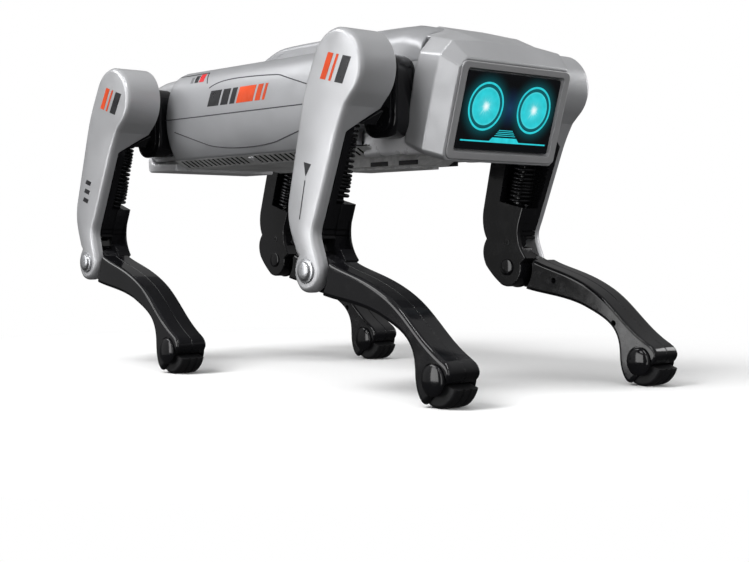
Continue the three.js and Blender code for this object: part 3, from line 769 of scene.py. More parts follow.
def pin_tail():
    """Domed inner end of the knee pin."""
    profile = [(0, THIGH_IN + 1), (5.9, THIGH_IN + 1), *dome(5.9, THIGH_IN - 0.2, THIGH_IN - 1.3, 0.5)]
    return turned(profile[::-1], 0, -THIGH)


def frame_screw():
    """Screw head with a round socket, in the frame's inner face above the knee."""
    steps = ((0, 0.9), (2.5, 0.9), (2.5, -0.15), (1.9, -0.35), (1.3, -0.3), (1.1, 0.4), (0, 0.4))
    return turned([(radius, THIGH_IN + rise) for radius, rise in steps], -4, 17.5 - THIGH, 24)


def slant(x, z, width, height, lean):
    """Corners of a leaning bar from its lower rear corner."""
    return [(x, z), (x + width, z), (x + width + lean, z + height), (x + lean, z + height)]


def printed(corners, face, steps=10):
    """A printed shape on a curved face: four corners, the lower two first; face gives y at (x, z)."""
    bm = bmesh.new()
    sheets = []
    for lift in (-0.4, 0.12):        # from inside the part to just proud of its face
        sheet = []
        for n in range(steps + 1):
            left = mixed(corners[0], corners[3], n / steps)
            right = mixed(corners[1], corners[2], n / steps)
            row = [mixed(left, right, k / 4) for k in range(5)]
            sheet.append([bm.verts.new((x, face(x, z, lift), z)) for x, z in row])
        sheets.append(sheet)
        grid(bm, sheet)
    bridge(bm, *[border(sheet) for sheet in sheets])
    return mesh_of(bm)


COVER_POINTS = thigh_outline()


def cover_mark(*corners):
    return printed(corners, lambda x, z, lift: THIGH_OUT - crown_fall(COVER_POINTS, x, z) + lift)


DRUM_BARS = {"z": -9, "height": 17, "lean": 4.5, "bars": ((-13, 5.5), (-4.5, 2.2), (1.5, 7.5))}


def leg_marks(end):
    """Plain accent marks on the cover: bars on the drum, a small arrow or bars on the shaft."""
    z, height, lean = DRUM_BARS["z"], DRUM_BARS["height"], DRUM_BARS["lean"]
    bars = [cover_mark(*slant(x, z, width, height, lean)) for x, width in DRUM_BARS["bars"]]
    marks = {"mark_orange": (merged(*bars[:2]), ORANGE), "mark_ink": (bars[2], INK)}
    if end == "front":
        arrow = cover_mark((-13.4, -70), (-13.0, -70), (-9.4, -62), (-17, -62))
        rule = cover_mark(*slant(-13.6, -98, 0.8, 25, 0))
        marks["mark_arrow"] = (merged(arrow, rule), INK)
    else:
        rows = [cover_mark(*slant(-18.6, z, 7.4, 3.4, 1.2)) for z in (-70, -77, -84)]
        marks["mark_arrow"] = (merged(*rows), INK)
    return marks


# Shape, finish, body it rides on, and the CAD nodes it stands in for.
LEG_PIECES = {
    "thigh_cover": (thigh_cover(), SILVER, "thigh", ("thigh_cover",)),
    "thigh_frame": (thigh_frame(), BLACK, "thigh", ("thigh_frame",)),
    "thigh_spring": (coil_spring(), WIRE, "thigh", ("thigh_spring",)),
    "pin_cap": (pin_cap(), CAP, "thigh", ("knee_pin",)),
    "pin_tail": (pin_tail(), BLACK, "thigh", ("knee_pin",)),
    "frame_screw": (frame_screw(), DARK, "thigh", ()),
    "hip_hub": (hip_hub(), BLACK, "thigh", ("hip_hub",)),
    "shank_outer": (shank_shell(1), BLACK, "shank", ("shank_outer",)),
    "shank_inner": (shank_shell(-1), BLACK, "shank", ("shank_inner",)),
    "ankle_axle": (ankle_axle(), BLACK, "shank", ("ankle_axle",)),
    "foot_pad": (foot_pad(), RUBBER, "foot", ("foot_pad",)),
}


def build_leg(end, side_name):
    side = SIDES[side_name]
    label = f"{end}_{side_name}"
    hip, knee, ankle = (JOINTS[f"{label}_{joint}"] for joint in ("hip", "knee", "ankle"))
    thigh_way, shank_way = knee - hip, ankle - knee
    lean = math.atan2(-thigh_way.x, -thigh_way.z)
    bend = math.atan2(ANKLE.y, ANKLE.x) - math.atan2(shank_way.z, shank_way.x)
    local = Matrix.Diagonal((MM, side * MM, MM, 1))
    thigh = Matrix.Translation(hip) @ Matrix.Rotation(lean, 4, "Y") @ local
    shank = Matrix.Translation(knee) @ Matrix.Rotation(bend, 4, "Y") @ local
    places = {"thigh": thigh, "shank": shank, "foot": shank}
    for name, (mesh, finish, part, nodes) in LEG_PIECES.items():
        replaced = [f"{label}_{node}" for node in nodes]
        piece(f"{label}_{name}_look", mesh, finish, replaced, places[part], f"{label}_{part}")
    for name, (mesh, finish) in leg_marks(end).items():
        piece(f"{label}_{name}", mesh, finish, place=thigh, body=f"{label}_thigh")


for leg_end in ENDS:
    for leg_side in SIDES:
        build_leg(leg_end, leg_side)

# ---- hip gearboxes
GEARBOX = {"half": 16.4, "top": 11.8, "bottom": -41, "corner": 12, "front": -4.5, "rear": -10.8}
FLANGE = box_mm("front_left_hip_gearbox")[1].y


def stadium(offset, shrink=0.0):
    """Tall outline of a gearbox with round corners."""
    corner = GEARBOX["corner"]
    reach, high, low = GEARBOX["half"] - corner, GEARBOX["top"] - corner, GEARBOX["bottom"] + corner
    path = Outline()
    for x, z, start in ((reach, high, 0), (-reach, high, 90), (-reach, low, 180), (reach, low, 270)):
        path.arc(offset + x, z, corner - shrink, start, start + 90, 10)
    return path.closed()


def gearbox(end):
    """Two housing halves with a seam between them, and a raised boss around the output."""
    offset = GEARBOX[end]
    base = prism(stadium(offset, 0.8), 20, 52, (1, 1), (0.8, 0.8), 2)
    lid = prism(stadium(offset), 52.8, FLANGE - 1.2, (0.8, 0.8), (2.6, 2.4), 6)
    face = prism(stadium(offset, 4.2), FLANGE - 2, FLANGE, (0, 0), (1.0, 0.8), 3)
    neck = prism(stadium(offset, 1.8), 50, 54)
    return merged(base, lid, face, neck)


for leg_end, hip_x in (("front", HIP_X), ("rear", -HIP_X)):
    for leg_side, sign in SIDES.items():
        spot = BODY @ Matrix.Translation((hip_x, 0, HIP_Z)) @ Matrix.Diagonal((1, sign, 1, 1))
        label = f"{leg_end}_{leg_side}"
        piece(f"{label}_gearbox_look", gearbox(leg_end), BLACK, [f"{label}_hip_gearbox"], spot)

# ---- body core
BELLY_Z = 152.5
SEAM_Z = 158.5
SEAM_GAP = 0.6
# Stations from the tail to the neck: x, underside, top and, where the body is narrower, half width.
TAIL_STATIONS = ((-176, 168, 196, 44), (-175.2, 161, 203, 47.5), (-173.2, 157, 207.5, 49.3))
TRUNK_STATIONS = ((-168, 154, 213.5), (-160, 152.8, 219), (-150, BELLY_Z, 221), (-118, BELLY_Z, 223),
                  (60, BELLY_Z, 227), (104, BELLY_Z, 229.3), (124, BELLY_Z, 229.3),
                  (134, BELLY_Z, 225.5), (146, 153.5, 216.5))
NECK_STATION = (148.6, 157, 212, 48.6)


def core_ring(x, low, high, wide=CORE_HALF):
    """Cross-section: narrow keel, upright sides, rounded shoulders, faintly crowned top."""
    shoulder = 8
    half = [(0, low), (24, low), (wide - 14, low), (wide - 12, low + 0.5), (wide - 5, low + 4.6)]
    half += [(wide - 1, low + 8), (wide, low + 12), (wide, (low + high) / 2), (wide, high - shoulder)]
    for n in range(1, 7):
        angle = math.pi / 2 * n / 6
        y = wide - shoulder + shoulder * math.cos(angle)
        half.append((y, high - shoulder + shoulder * math.sin(angle)))
    half += [(wide / 2, high + 0.7), (0, high + 1)]
    whole = half + [(-y, z) for y, z in reversed(half[1:-1])]
    return [(x, y, z) for y, z in whole]


def sliced(mesh, height, above):
    """The part of a closed mesh above or below a level, closed again."""
    bm = bmesh.new()
    bm.from_mesh(mesh)
    geometry = bm.verts[:] + bm.edges[:] + bm.faces[:]
    cut = bmesh.ops.bisect_plane(bm, geom=geometry, plane_co=(0, 0, height), plane_no=(0, 0, 1),
                                 clear_inner=above, clear_outer=not above)
    rim = [e for e in cut["geom_cut"] if isinstance(e, bmesh.types.BMEdge)]
    bmesh.ops.contextual_create(bm, geom=rim)
    return mesh_of(bm)


VENT = {"pitch": 6.0, "width": 3.3, "groups": ((-116, 14), (-21.5, 20)), "arrow": -27.0}
RAIL = ((45.5, 151.0), (57.0, 157.3))   # inner and outer edge of the sloping face: y, z
RAIL_SLOPE = 0.548


def vent_rail(side):
    """Sloping rail under a side panel, with two groups of slots across it."""
    section = [(34, 152.6), *RAIL, (45, 157.8)]
    rail = hull([(x, side * y, z) for x in (-121, 106) for y, z in section])
    across = [(side * y, z + t) for y, z in ((46.8, 151.7), (55.6, 156.5)) for t in (-3, 3.2)]
    starts = [start + n * VENT["pitch"] for start, count in VENT["groups"] for n in range(count)]
    slots = [hull([(u, y, z) for u in (x, x + VENT["width"]) for y, z in across]) for x in starts]
    return carved(rail, merged(*slots))


# Painted shadow: a near-black sheet behind the slots that stands for the dark inside of the vents.
def vent_shade_sheet(side):
    section = [(45.8, 151.7), (56.0, 157.3), (56.0, 158.2), (45.8, 158.2)]
    return hull([(x, side * y, z) for x in (-119, 104) for y, z in section])


def vent_arrow(side):
    """Small bright pointer between the two groups of slots."""
    x, (start_y, start_z) = VENT["arrow"], RAIL[0]
    notch = [(x, 55.2), (x + 5.6, 55.2), (x + 1.6, 51.0)]
    corners = [(u, y, start_z + (y - start_y) * RAIL_SLOPE) for u, y in notch]
    return hull([(u, side * y, z - t) for u, y, z in corners for t in (-0.4, 0.9)])


CHEEK = {"rear": 95, "front": 152, "low": 150.6, "high": 166.2}


def neck_cheek(side):
    """Rounded block on the body's flank below the front gearbox, its face faintly bowed."""
    low, high = CHEEK["low"], CHEEK["high"]
    rings = []
    for n in range(13):
        t = n / 12
        x = CHEEK["rear"] + (CHEEK["front"] - CHEEK["rear"]) * t
        face = CORE_HALF + 0.4 + 2.8 * math.sqrt(max(0.0, 1 - (2 * t - 1) ** 4))
        section = [(44, low), (face - 1.5, low), (face, low + 1.6), (face, high), (44, high)]
        rings.append([(x, side * y, z) for y, z in section])
    return softened(lofted(rings), 0.8, 3, 40)


def module_slots(side):
    """Finger slots along the upper edge of the battery compartment."""
    face = box_mm("battery_box")[1].y
    shapes = [block(x, x + 18, side * (face - 1), side * (face + 0.25), 146.4, 149.4) for x in (66, 95)]
    return softened(merged(*shapes), 0.2, 2)


def tail_skid():
    """Bumper across the underside of the tail, in the lightened silver that paints in the light on it."""
    half = 47.5
    path = Outline(-134, 150.3).line(-134, 156.2).line(-164, 156.8)
    path.curve((-170, 157), (-170.4, 162), steps=6)
    path.line(-175, 162).line(-175, 155).curve((-174.6, 150.3), (-170, 150.3), steps=6)
    return softened(prism(path.closed(), -half, half, (1.4, 1.2), (1.4, 1.2)), 0.6, 2, 40)


def core_pieces():
    trunk = [core_ring(*station) for station in (*TAIL_STATIONS, *TRUNK_STATIONS, NECK_STATION)]
    upper = softened(sliced(lofted(trunk), SEAM_Z, True), 0.4, 2, 50)
    lower = softened(sliced(lofted(trunk), SEAM_Z - SEAM_GAP, False), 0.4, 2, 50)
    piece("upper_shell_look", upper, SILVER, ["body_upper_shell"], sharp=30)
    piece("lower_shell_look", lower, GREY, ["body_lower_shell"], sharp=30)
    for name, side in SIDES.items():
        piece(f"{name}_vent_rail", vent_rail(side), GREY)
        piece(f"{name}_vent_shade_sheet", vent_shade_sheet(side), VENT_SHADE)
        piece(f"{name}_vent_arrow", vent_arrow(side), POINTER)
        # painted light: the neck cheeks take the lightened silver
        piece(f"{name}_neck_cheek", neck_cheek(side), LIT_SILVER)
        piece(f"{name}_module_slots", module_slots(side), DARK)
    piece("tail_skid", tail_skid(), LIT_SILVER)


# ---- side panels
PANEL_HALF = PANEL_HIGH.y
PANEL_BACK = PANEL_LOW.x
PANEL_BOTTOM = PANEL_LOW.z
PANEL_TOP = PANEL_HIGH.z - 0.6
PANEL_FRONT = 108.5


def panel_section():
    """The panel's crowned cross-section, from its lower to its upper edge."""
    path = Outline(PANEL_HALF - 7.6, PANEL_BOTTOM - 0.2).line(PANEL_HALF - 6.6, PANEL_BOTTOM + 0.7)
    path.curve((PANEL_HALF - 0.6, 170), (PANEL_HALF + 0.7, 186), (PANEL_HALF - 0.2, 196), steps=44)
    upper = [(PANEL_HALF - 1.2, 208), (PANEL_HALF - 3.6, PANEL_TOP - 3.5), (PANEL_HALF - 13.4, PANEL_TOP)]
    path.curve(*upper, steps=44)
    return path.points


SECTION = panel_section()


def panel_y(z):
    """Half width over the side panels at height z."""
    for (y0, z0), (y1, z1) in zip(SECTION, SECTION[1:]):
        if z0 <= z <= z1 and z1 > z0:
            return y0 + (y1 - y0) * (z - z0) / (z1 - z0)
    return SECTION[0][0] if z < SECTION[0][1] else SECTION[-1][0]


def panel_ends(z):
    """Rear and front edge of the panel at height z."""
    low, corner, corner_length, bow, chamfer = PANEL_BOTTOM, 11.0, 12, 12, 15
    start = PANEL_TOP - corner                         # height where the upper corners begin
    t = min(1.0, max(0.0, (z - low) / (start - low)))
    over = max(0.0, (z - start) / corner)
    cut = corner_length * (1 - math.sqrt(max(0.0, 1 - over * over)))
    under = min(1.0, max(0.0, (low + 20 - z) / 12))
    rear = PANEL_BACK + 3 - bow * t * (1 - t) + cut
    return rear, PANEL_FRONT - cut - chamfer * under * under * (3 - 2 * under)


def side_panel(side):
    edge, columns = 5.0, 60
    bm = bmesh.new()
    rows = []
    for y, z in SECTION:
        rear, front = panel_ends(z)
        close = [edge * (1 - math.cos(math.pi / 2 * n / 6)) for n in range(7)]
        steps = [rear + d for d in close]
        steps += [rear + edge + (front - rear - 2 * edge) * n / columns for n in range(1, columns)]
        steps += [front - d for d in reversed(close)]
        row = []
        for x in steps:
            d = min(x - rear, front - x, edge)
            fall = edge - math.sqrt(max(0.0, edge * edge - (edge - d) ** 2))
            row.append(bm.verts.new((x, side * max(y - fall, CORE_HALF + 1), z)))
        rows.append(row)
    grid(bm, rows)
    rim = border(rows)
    inner = [bm.verts.new((v.co.x, side * (CORE_HALF + 0.3), v.co.z)) for v in rim]
    bridge(bm, rim, inner)
    bm.faces.new(inner)
    return mesh_of(bm)


def tube(points, radius, sides=8):
    """A round bead along a path."""
    rings = []
    for n, point in enumerate(points):
        along = (points[min(n + 1, len(points) - 1)] - points[max(n - 1, 0)]).normalized()
        across = along.cross(Vector((0, 1, 0))).normalized()
        up = across.cross(along)
        rings.append([point + (across * c + up * s) * radius for c, s in circle(sides)])
    return lofted(rings)


def panel_seams(side):
    """Seam lines in the panel: upper arch, waist line and lower sweep."""
    arch = Outline(-66, 208.4).curve((-58, 212.4), (-44, 213.2), (-30, 213.0), steps=16)
    arch.curve((-8, 212.6), (6, 211.8), (16, 211), steps=16)
    arch.curve((20, 210.6), (24, 209.2), steps=5).line(60, 199)
    waist = Outline(-122.4, 188).line(108, 188)
    sweep = Outline(-111, 178.4).line(-70, 166.9).curve((-62, 164.8), (-50, 163.9), (-38, 163.2), steps=10)
    sweep.curve((-16, 162.4), (2, 163.4), (14, 165), steps=12).line(44, 171.2).line(76, 178.4)
    beads = []
    for line in (arch, waist, sweep):
        places = [mixed(a, b, n / 8) for a, b in zip(line.points, line.points[1:]) for n in range(8)]
        points = [Vector((x, side * (panel_y(z) - 0.22), z)) for x, z in places + line.points[-1:]]
        beads.append(tube(points, 0.5))
    return merged(*beads)


def panel_mark(side, *bars):
    """Leaning bars printed on a side panel."""
    return merged(*[printed(slant(*bar), lambda x, z, lift: side * (panel_y(z) + lift)) for bar in bars])


SWATCH_Z, SWATCH_LEAN = 214.2, -0.5
STRIPE_Z, STRIPE_HEIGHT, STRIPE_LEAN = 194.5, 11.5, 3.4
SWATCHES = (("grey", ASH, -94.0, 3.4, 4.6), ("dark", INK, -88.6, 4.8, 5.4), ("red", RED, -82.6, 6.2, 6.2))
CORNER_RULE = ((-113, 220.6, 38, 0.7, 0), (-70.8, 212.2, 1.0, 8.6, -4.4))
STRIPES = {
    "dark": (INK, ((-66, 14), (-49.5, 9), (-38, 6))),
    "orange": (ORANGE, ((-29.5, 20), (-7, 6), (1.5, 3))),
}


def panel_pieces():
    for name, side in SIDES.items():
        piece(f"{name}_panel_look", side_panel(side), SHADED_SILVER, [f"{name}_side_panel"])
        piece(f"{name}_panel_seams", panel_seams(side), SEAM)
        for tint, finish, x, width, height in SWATCHES:
            mark = panel_mark(side, (x, SWATCH_Z, width, height, SWATCH_LEAN))
            piece(f"{name}_swatch_{tint}", mark, finish)
        piece(f"{name}_corner_rule", panel_mark(side, *CORNER_RULE), INK)
        for tint, (finish, bars) in STRIPES.items():
            stripes = [(x, STRIPE_Z, width, STRIPE_HEIGHT, STRIPE_LEAN) for x, width in bars]
            piece(f"{name}_stripe_{tint}", panel_mark(side, *stripes), finish)


DORSAL_TOP = 236.2


def dorsal_outline():
    low, back, front, top = DORSAL_LOW.z - 2, DORSAL_LOW.x, DORSAL_HIGH.x, DORSAL_TOP
    path = Outline(back, low).line(front + 4, low).line(front + 4, top - 3).line(front, top - 1)
    path.curve((front - 20, top), (60, top), steps=8)
    path.curve((20, top + 0.2), (-5, top), (-17, top - 0.9), steps=14)
    path.curve((-27, top - 1.9), (-39, top - 7), (back, low + 5), steps=12)
    return path.closed()


def dorsal_cover():
    return prism(dorsal_outline(), DORSAL_LOW.y, DORSAL_HIGH.y, (3.4, 3.2), (3.4, 3.2), 6)


core_pieces()
panel_pieces()
piece("dorsal_cover_look", dorsal_cover(), SHADED_SILVER, ["dorsal_cover"])

# ---- head
TILT = math.radians(15.5)
LENS = {"half": 42.4, "low": -24.2, "high": 24.6, "depth": (-2.6, -0.6)}
LENS_LOW, LENS_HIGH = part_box("display_lens")
FACE_TURN = Matrix.Rotation(TILT, 4, "Y")
LENS_MIDDLE = Vector((sum(LENS["depth"]) / 2, 0, (LENS["low"] + LENS["high"]) / 2)) * MM
FACE_ORIGIN = (LENS_LOW + LENS_HIGH) / 2 - FACE_TURN @ LENS_MIDDLE
SWAP = Matrix(((0, 1, 0, 0), (1, 0, 0, 0), (0, 0, 1, 0), (0, 0, 0, 1)))
# Head shapes are drawn x sideways, y forwards, z up, from the middle of the display.
FACE = Matrix.Translation(FACE_ORIGIN) @ FACE_TURN @ Matrix.Scale(MM, 4) @ SWAP

# By depth: half widths at top, shoulder, widest and low; heights of top, shoulder and base;
# half width and height of the crown.
HEAD_RINGS = {
    -36.0: (46.5, 53.5, 54.5, 52.5, 39.0, 28.5, -30.5, 28, 45.0),
    -33.0: (47.5, 55.5, 56.4, 54.8, 39.8, 29.0, -31.0, 28, 45.0),
    -13.5: (49.5, 57.2, 58.2, 57.0, 40.6, 31.0, -32.0, 25, 42.6),
    -0.4: (45.6, 50.6, 51.0, 50.8, 32.2, 26.4, -32.4, 24, 32.4),
}


def head_ring(depth, top, shoulder, wide, low, high, drop, base, crest, crown):
    half = [(low - 3.5, base), (low, base + 3.0), (wide, high * 0.42)]
    half += [(shoulder, drop), (top, high), (crest, crown)]
    points = half + [(-y, v) for y, v in reversed(half)]
    return [(y, depth, v) for y, v in points]


def rounded(points, radius, steps=6):
    """A polygon with every corner turned into a curve."""
    path = Outline()
    count = len(points)
    for n, corner in enumerate(points):
        before, after = points[n - 1], points[(n + 1) % count]
        into = min(radius, math.dist(corner, before) / 2.2)
        away = min(radius, math.dist(corner, after) / 2.2)
        path.line(*mixed(corner, before, into / math.dist(corner, before)))
        path.curve(corner, mixed(corner, after, away / math.dist(corner, after)), steps=steps)
    return path.closed()


RIM = {"half": 50.6, "low": -32.0, "high": 31.8, "radius": 6.5}


def rectangle(half, low, high, radius):
    """A rectangle with rounded corners."""
    return rounded([(-half, low), (half, low), (half, high), (-half, high)], radius)


def rim_outline(shrink):
    return inset(rectangle(RIM["half"], RIM["low"], RIM["high"], RIM["radius"]), shrink)


def head_shell():
    shell = lofted([head_ring(depth, *sizes) for depth, sizes in HEAD_RINGS.items()])
    shell = softened(shell, 1.1, 3, 9)
    return softened(carved(shell, prism(rim_outline(0.9), -6, 9)), 0.3, 2, 50)


def head_hood():
    """Top of the head where it runs back over the neck, its rear corners cut off diagonally."""
    rings = []
    for depth, half in ((-59, 33), (-58, 34), (-38, 47.5), (-34, 47.5)):
        right = [(half * 0.6, 44.8), (half, 39), (half - 2, 36)]
        points = [(-y, v) for y, v in reversed(right)] + right
        rings.append([(y, depth, v - (0.7 if depth == -59 else 0)) for y, v in points])
    return softened(lofted(rings), 0.7, 3, 12)


def neck_hood():
    """Smooth hood over the neck, from the dorsal cover down to the gearboxes."""
    rings = []
    for x, top in ((84, 230.5), (94, 233.6), (104, 234.4), (133, 234.2), (146, 231.2), (150.5, 228.6)):
        half = [(CORE_HALF - 3, 206), (CORE_HALF + 0.3, 209)]
        for n in range(9):
            angle = math.pi / 2 * n / 8
            half.append((CORE_HALF + 0.6 - 20 * (1 - math.cos(angle)), top - 14 * (1 - math.sin(angle))))
        rings.append([(x, y, z) for y, z in half + [(-y, z) for y, z in reversed(half)]])
    return softened(lofted(rings), 0.8, 3, 24)


def lens_outline(grow=0.0, radius=2.2):
    return rectangle(LENS["half"] + grow, LENS["low"] - grow, LENS["high"] + grow, radius)


def bezel():
    """Dark frame round the display, with a bevelled inner edge."""
    plate = prism(rim_outline(1.1), -5.6, 0.5, (0.3, 0.3), (1.0, 0.8), 4)
    funnel = hull([(y, d, v) for d, grow in ((-8, 0), (-1.6, 0), (3, 2.4)) for y, v in lens_outline(grow)])
    return softened(carved(plate, funnel), 0.35, 2, 30)


EYE = {"side": 22.0, "up": 3.5, "radius": 12.0, "ring": (14.1, 15.4)}
TEAL = (0.030, 0.61, 0.68)
PALE = (0.55, 1.0, 1.0)


def face_coordinates(g, side=0.0, up=0.0):
    """Shader coordinates in millimetres on the face: x forwards, y sideways, z up."""
    centre = FACE_ORIGIN + FACE_TURN @ Vector((0, side, up)) * MM
    inputs = {"Vector": g.place, "Location": tuple(centre), "Rotation": (0, TILT, 0), "Scale": (MM, MM, MM)}
    return g.add("ShaderNodeMapping", inputs, vector_type="TEXTURE").outputs["Vector"]


def flat_distance(g, point, stretch=1.0):
    """Distance from the centre within the face plane, and the point without its depth."""
    inputs = {0: point, 1: (0, stretch, 1)}
    flat = g.add("ShaderNodeVectorMath", inputs, operation="MULTIPLY").outputs["Vector"]
    return g.add("ShaderNodeVectorMath", {0: flat}, operation="LENGTH").outputs["Value"], flat


def lit(g, tone, rough, bump):
    """The finish of a lit lens that glows in the given tone."""
    g.set(Base_Color=(0.0, 0.02, 0.02), Emission_Color=tone, Emission_Strength=1.0, Roughness=rough,
          Specular_IOR_Level=0.2, Normal=bump)
    return g.material, "teal_light"


def eye_material(side):
    """Lit lens: pale starburst in the middle, teal body, brighter rim."""
    g = Finish(f"eye_light_{'left' if side > 0 else 'right'}")
    distance, flat = flat_distance(g, face_coordinates(g, side * EYE["side"], EYE["up"]))
    way = g.add("ShaderNodeVectorMath", {0: flat}, operation="NORMALIZE").outputs["Vector"]
    rays = g.add("ShaderNodeTexNoise", {"Vector": way, "Scale": 4.5, "Detail": 3.0}).outputs["Fac"]
    reach = g.ranged(rays, 0.4, 0.68, 1.5, 8.5)
    burst = g.math("POWER", g.ranged(g.math("DIVIDE", distance, reach), 0.0, 1.0, 1.0, 0.0), 1.4)
    haze = g.math("POWER", g.ranged(distance, 0, 10.5, 1, 0), 2.0)
    core = g.math("POWER", g.ranged(distance, 0, 3.6, 1, 0), 1.2)
    rim = g.ranged(distance, 10.6, 11.8, 0, 0.35)
    body = g.mottled(TEAL, 0.86, 1.06, 5, 3, 0.2)
    tone = g.over(g.over(body, PALE, haze, 0.20), PALE, burst, 0.85)
    tone = g.mix(rim, g.mix(core, tone, (0.95, 1.0, 1.0)), (0.12, 0.75, 0.78))
    return lit(g, tone, g.varied(6, 3, 0.08, 0.2), g.bump(g.noise(1.2), 0.004))


def line_material():
    g = Finish("display_teal")
    tone = g.mottled(TEAL, 0.9, 1.1, 4, 2)
    return lit(g, tone, g.varied(5, 3, 0.1, 0.2), g.bump(g.noise(1.5), 0.003))


def screen_material():
    """Smoked lens with the light of the eyes spilling around them."""
    g = Finish("smoked_lens")
    glow = None
    for side in (1, -1):
        distance, _ = flat_distance(g, face_coordinates(g, side * EYE["side"], EYE["up"]))
        halo = g.math("POWER", g.ranged(distance, 13, 24, 1, 0), 2.2)
        glow = halo if glow is None else g.math("ADD", glow, halo)
    middle, _ = flat_distance(g, face_coordinates(g, 0, EYE["up"]), 1.25)
    blue = g.math("MULTIPLY", g.math("POWER", g.ranged(middle, 0, 15, 1, 0), 1.5), 0.35)
    tone = g.mix(blue, (0.0, 0.0, 0.0), (0.02, 0.10, 0.28))
    tone = g.over(tone, (0.01, 0.34, 0.40), glow, 0.30)
    rough = g.ranged(g.noise(11, 4), 0.35, 0.7, 0.05, 0.14)
    g.set(Base_Color=(0.006, 0.007, 0.009), Emission_Color=tone, Emission_Strength=1.0, Coat_Weight=0.6,
          Coat_Roughness=0.04, Roughness=rough, Normal=g.bump(g.noise(7), 0.004))
    return g.material, "smoked_lens"


TEAL_LINE = line_material()
EYE_FINISH = {1: eye_material(1), -1: eye_material(-1)}


def trapezium(low, high, z0, z1):
    return [(-low, z0), (low, z0), (high, z1), (-high, z1)]


def display_lines():
    """Base line with a raised middle, and a stack of short lines above it."""
    front = LENS["depth"][1]
    level = -18.6
    shapes = [
        prism(trapezium(39, 39, level - 0.45, level + 0.45), front - 0.5, front + 0.06),
        prism(trapezium(13.6, 11, level + 0.4, level + 2.9), front - 0.5, front + 0.07),
    ]
    for n in range(4):
        z = level + 4.0 + 1.15 * n
        half = 9.6 - 1.05 * n
        shapes.append(prism(trapezium(half, half - 0.3, z, z + 0.42), front - 0.5, front + 0.06))
    return merged(*shapes)


def eye_disc(front, *centre):
    """Eye light: a flat disc with a softened rim, just proud of the display."""
    radius = EYE["radius"]
    steps = ((0, -1.2), (radius, -1.2), (radius, 0.02), (radius - 0.3, 0.1), (0, 0.14))
    return turned([(r, front + rise) for r, rise in steps], *centre, 72)


def eye_ring(front, *centre):
    """Thin lit ring round an eye."""
    inner, outer = EYE["ring"]
    steps = [(inner, -0.8), (outer, -0.8), (outer, 0.05), (outer - 0.2, 0.1)]
    steps += [(inner + 0.2, 0.1), (inner, 0.05), (inner, -0.8)]
    return turned([(r, front + rise) for r, rise in steps], *centre, 72)


def head_pieces():
    front = LENS["depth"][1]
    lens = prism(lens_outline(0.1), front - 2.6, front, (0.2, 0.2), (0.25, 0.2), 2)
    piece("head_shell_look", head_shell(), SILVER, ["head_shell"], FACE, sharp=30)
    piece("head_hood_look", head_hood(), SILVER, place=FACE, sharp=30)
    piece("neck_hood_look", neck_hood(), SHADED_SILVER, sharp=30)
    piece("head_bezel_look", bezel(), BEZEL, ["head_bezel"], FACE, sharp=30)
    glowing = [
        piece("display_lines", display_lines(), TEAL_LINE, place=FACE),
        piece("display_lens_look", lens, screen_material(), ["display_lens"], FACE),
    ]
    for name, side in SIDES.items():
        place = (front, side * EYE["side"], EYE["up"])
        disc, ring, light = eye_disc(*place), eye_ring(*place), [f"{name}_eye_light"]
        glowing.append(piece(f"{name}_eye_look", disc, EYE_FINISH[side], light, FACE))
        glowing.append(piece(f"{name}_eye_ring", ring, TEAL_LINE, place=FACE))
    for thing in glowing:
        thing.visible_glossy = False          # the black legs below would mirror the eyes


head_pieces()

# ---- CAD nodes that stay
KEPT = {                          # finish and width of the softened edges
    "battery_box": (GREY, 0.5), "battery_door": (GREY, 0.5), "battery_pack": (CELL, 1.5),
    "main_board": (BOARD, 0.2), "speaker": (DARK, 0.5), "power_switch": (DARK, 0.4),
    "charging_socket": (DARK, 0.4), "display_board": (BOARD, 0.2),
}
for node, ((node_material, node_slot), width) in KEPT.items():
    kept = frame["nodes"][node]
    kept.data.materials.clear()
    kept.data.materials.append(node_material)
    soft = kept.modifiers.new("soft edges", "BEVEL")
    soft.width, soft.segments, soft.limit_method = width * MM, 2, "ANGLE"

# ---- stage, light and camera
def floor():
    """White floor that catches the shadows near the dog and glows like the backdrop further out."""
    bm = bmesh.new()
    span, shadow_end, backdrop_start = 6.0, 0.24, 0.50
    for x, y in ((-span, -span), (span, -span), (span, span), (-span, span)):
        bm.verts.new((x, y, 0))
    bm.faces.new(bm.verts)
    mesh = mesh_of(bm)
    g = Finish("studio_floor")
    away = g.add("ShaderNodeVectorMath", {0: g.place}, operation="LENGTH").outputs["Value"]
    fade = g.ranged(away, shadow_end, backdrop_start)
    pale = g.mix(g.noise(400, 2), (0.88, 0.88, 0.88), (0.92, 0.92, 0.92))
    g.set(Base_Color=g.mix(fade, pale, (0.0, 0.0, 0.0)), Roughness=0.6, Specular_IOR_Level=0.0)
    g.set(Emission_Color=(1.0, 1.0, 1.0), Emission_Strength=fade)      # runs out into the white backdrop
    behind = g.add("ShaderNodeNewGeometry").outputs["Backfacing"]
    g.set(Alpha=g.math("SUBTRACT", 1.0, behind))                       # clear when looked at from below
    mesh.materials.append(g.material)
    thing = placed("floor", mesh)
    thing.visible_glossy = thing.visible_diffuse = False


def softbox(name, place, target, size, power, seen=""):
    """A rectangular area light; seen limits it to diffuse light or to reflections."""
    light = bpy.data.lights.new(name, "AREA")
    light.shape, light.size, light.size_y, light.energy = "RECTANGLE", size[0], size[1], power
    thing = placed(name, light)
    thing.location = place
    thing.rotation_euler = (Vector(target) - Vector(place)).to_track_quat("-Z", "Y").to_euler()
    thing.visible_diffuse = seen != "glossy"
    thing.visible_glossy = seen != "diffuse"


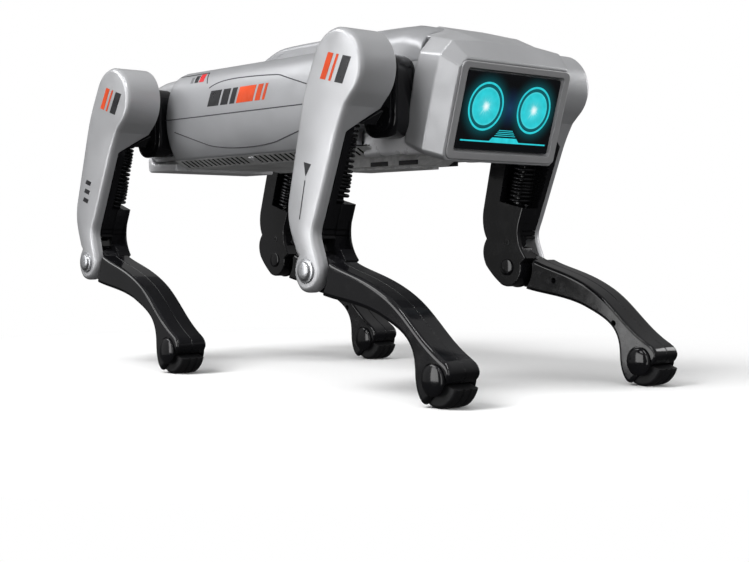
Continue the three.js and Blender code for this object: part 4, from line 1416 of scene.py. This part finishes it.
def world():
    """White to the camera, a dimmer graded room for everything it lights and reflects."""
    scene_world = bpy.data.worlds.new("studio")
    bpy.context.scene.world = scene_world
    scene_world.use_nodes = True
    g = Graph(scene_world.node_tree)
    g.nodes.clear()
    place = g.add("ShaderNodeTexCoord").outputs["Generated"]
    height = g.add("ShaderNodeSeparateXYZ", {0: place}).outputs["Z"]
    ray = g.add("ShaderNodeLightPath").outputs
    dim, bright, extra_diffuse = 0.04, 0.40, 0.16
    graded = g.ranged(height, -0.15, 0.8, dim, bright)
    inputs = {0: ray["Is Diffuse Ray"], 1: extra_diffuse, 2: graded}
    strength = g.add("ShaderNodeMath", inputs, operation="MULTIPLY_ADD").outputs[0]
    room = g.add("ShaderNodeBackground", {"Strength": strength}).outputs[0]
    backdrop = g.add("ShaderNodeBackground", {"Color": (1.0, 1.0, 1.0)}).outputs[0]
    choice = g.add("ShaderNodeMixShader", {0: ray["Is Camera Ray"], 1: room, 2: backdrop}).outputs[0]
    g.add("ShaderNodeOutputWorld", {"Surface": choice})


def camera():
    """Low three-quarter view from the dog's front right, almost level."""
    place = Vector((0.7594, -0.6393, 0.0954))
    heading, pitch, lens = math.radians(138.84), math.radians(-1.67), 65.83
    level = math.cos(pitch)
    way = Vector((math.cos(heading) * level, math.sin(heading) * level, math.sin(pitch)))
    data = bpy.data.cameras.new("camera")
    data.lens, data.sensor_width, data.clip_start = lens, 36.0, 0.01
    thing = placed("camera", data)
    thing.location = place
    thing.rotation_euler = way.to_track_quat("-Z", "Y").to_euler()
    bpy.context.scene.camera = thing


floor()
world()
softbox("top_box", (0.05, -0.1, 1.3), (0, 0, 0.15), (1.4, 1.1), 4.2, seen="diffuse")
softbox("key_box", (-0.15, -1.05, 1.2), (0, 0, 0.15), (0.8, 0.8), 24, seen="diffuse")
softbox("side_box", (0.32, -1.4, 0.16), (0.05, 0, 0.16), (0.45, 0.9), 2.6, seen="glossy")
softbox("wall_box", (-0.64, -1.35, 0.30), (0, 0, 0.15), (0.6, 0.9), 6.0, seen="glossy")
softbox("rear_box", (-1.15, -0.9, 0.25), (0, 0, 0.15), (0.8, 0.9), 0.45, seen="glossy")
softbox("crown_box", (-0.8, -0.9, 1.0), (0, 0, 0.2), (0.9, 0.5), 6, seen="glossy")
softbox("strip_box", (0.2, -1.0, 1.1), (0, 0, 0.1), (0.05, 0.9), 3.0, seen="glossy")
softbox("fill_box", (1.25, -0.5, 0.35), (0, 0, 0.15), (0.8, 0.8), 6, seen="diffuse")
softbox("rim_box", (0.5, 1.4, 0.6), (0, 0, 0.12), (0.5, 0.8), 5)
camera()
bpy.context.scene.view_settings.view_transform = "Standard"
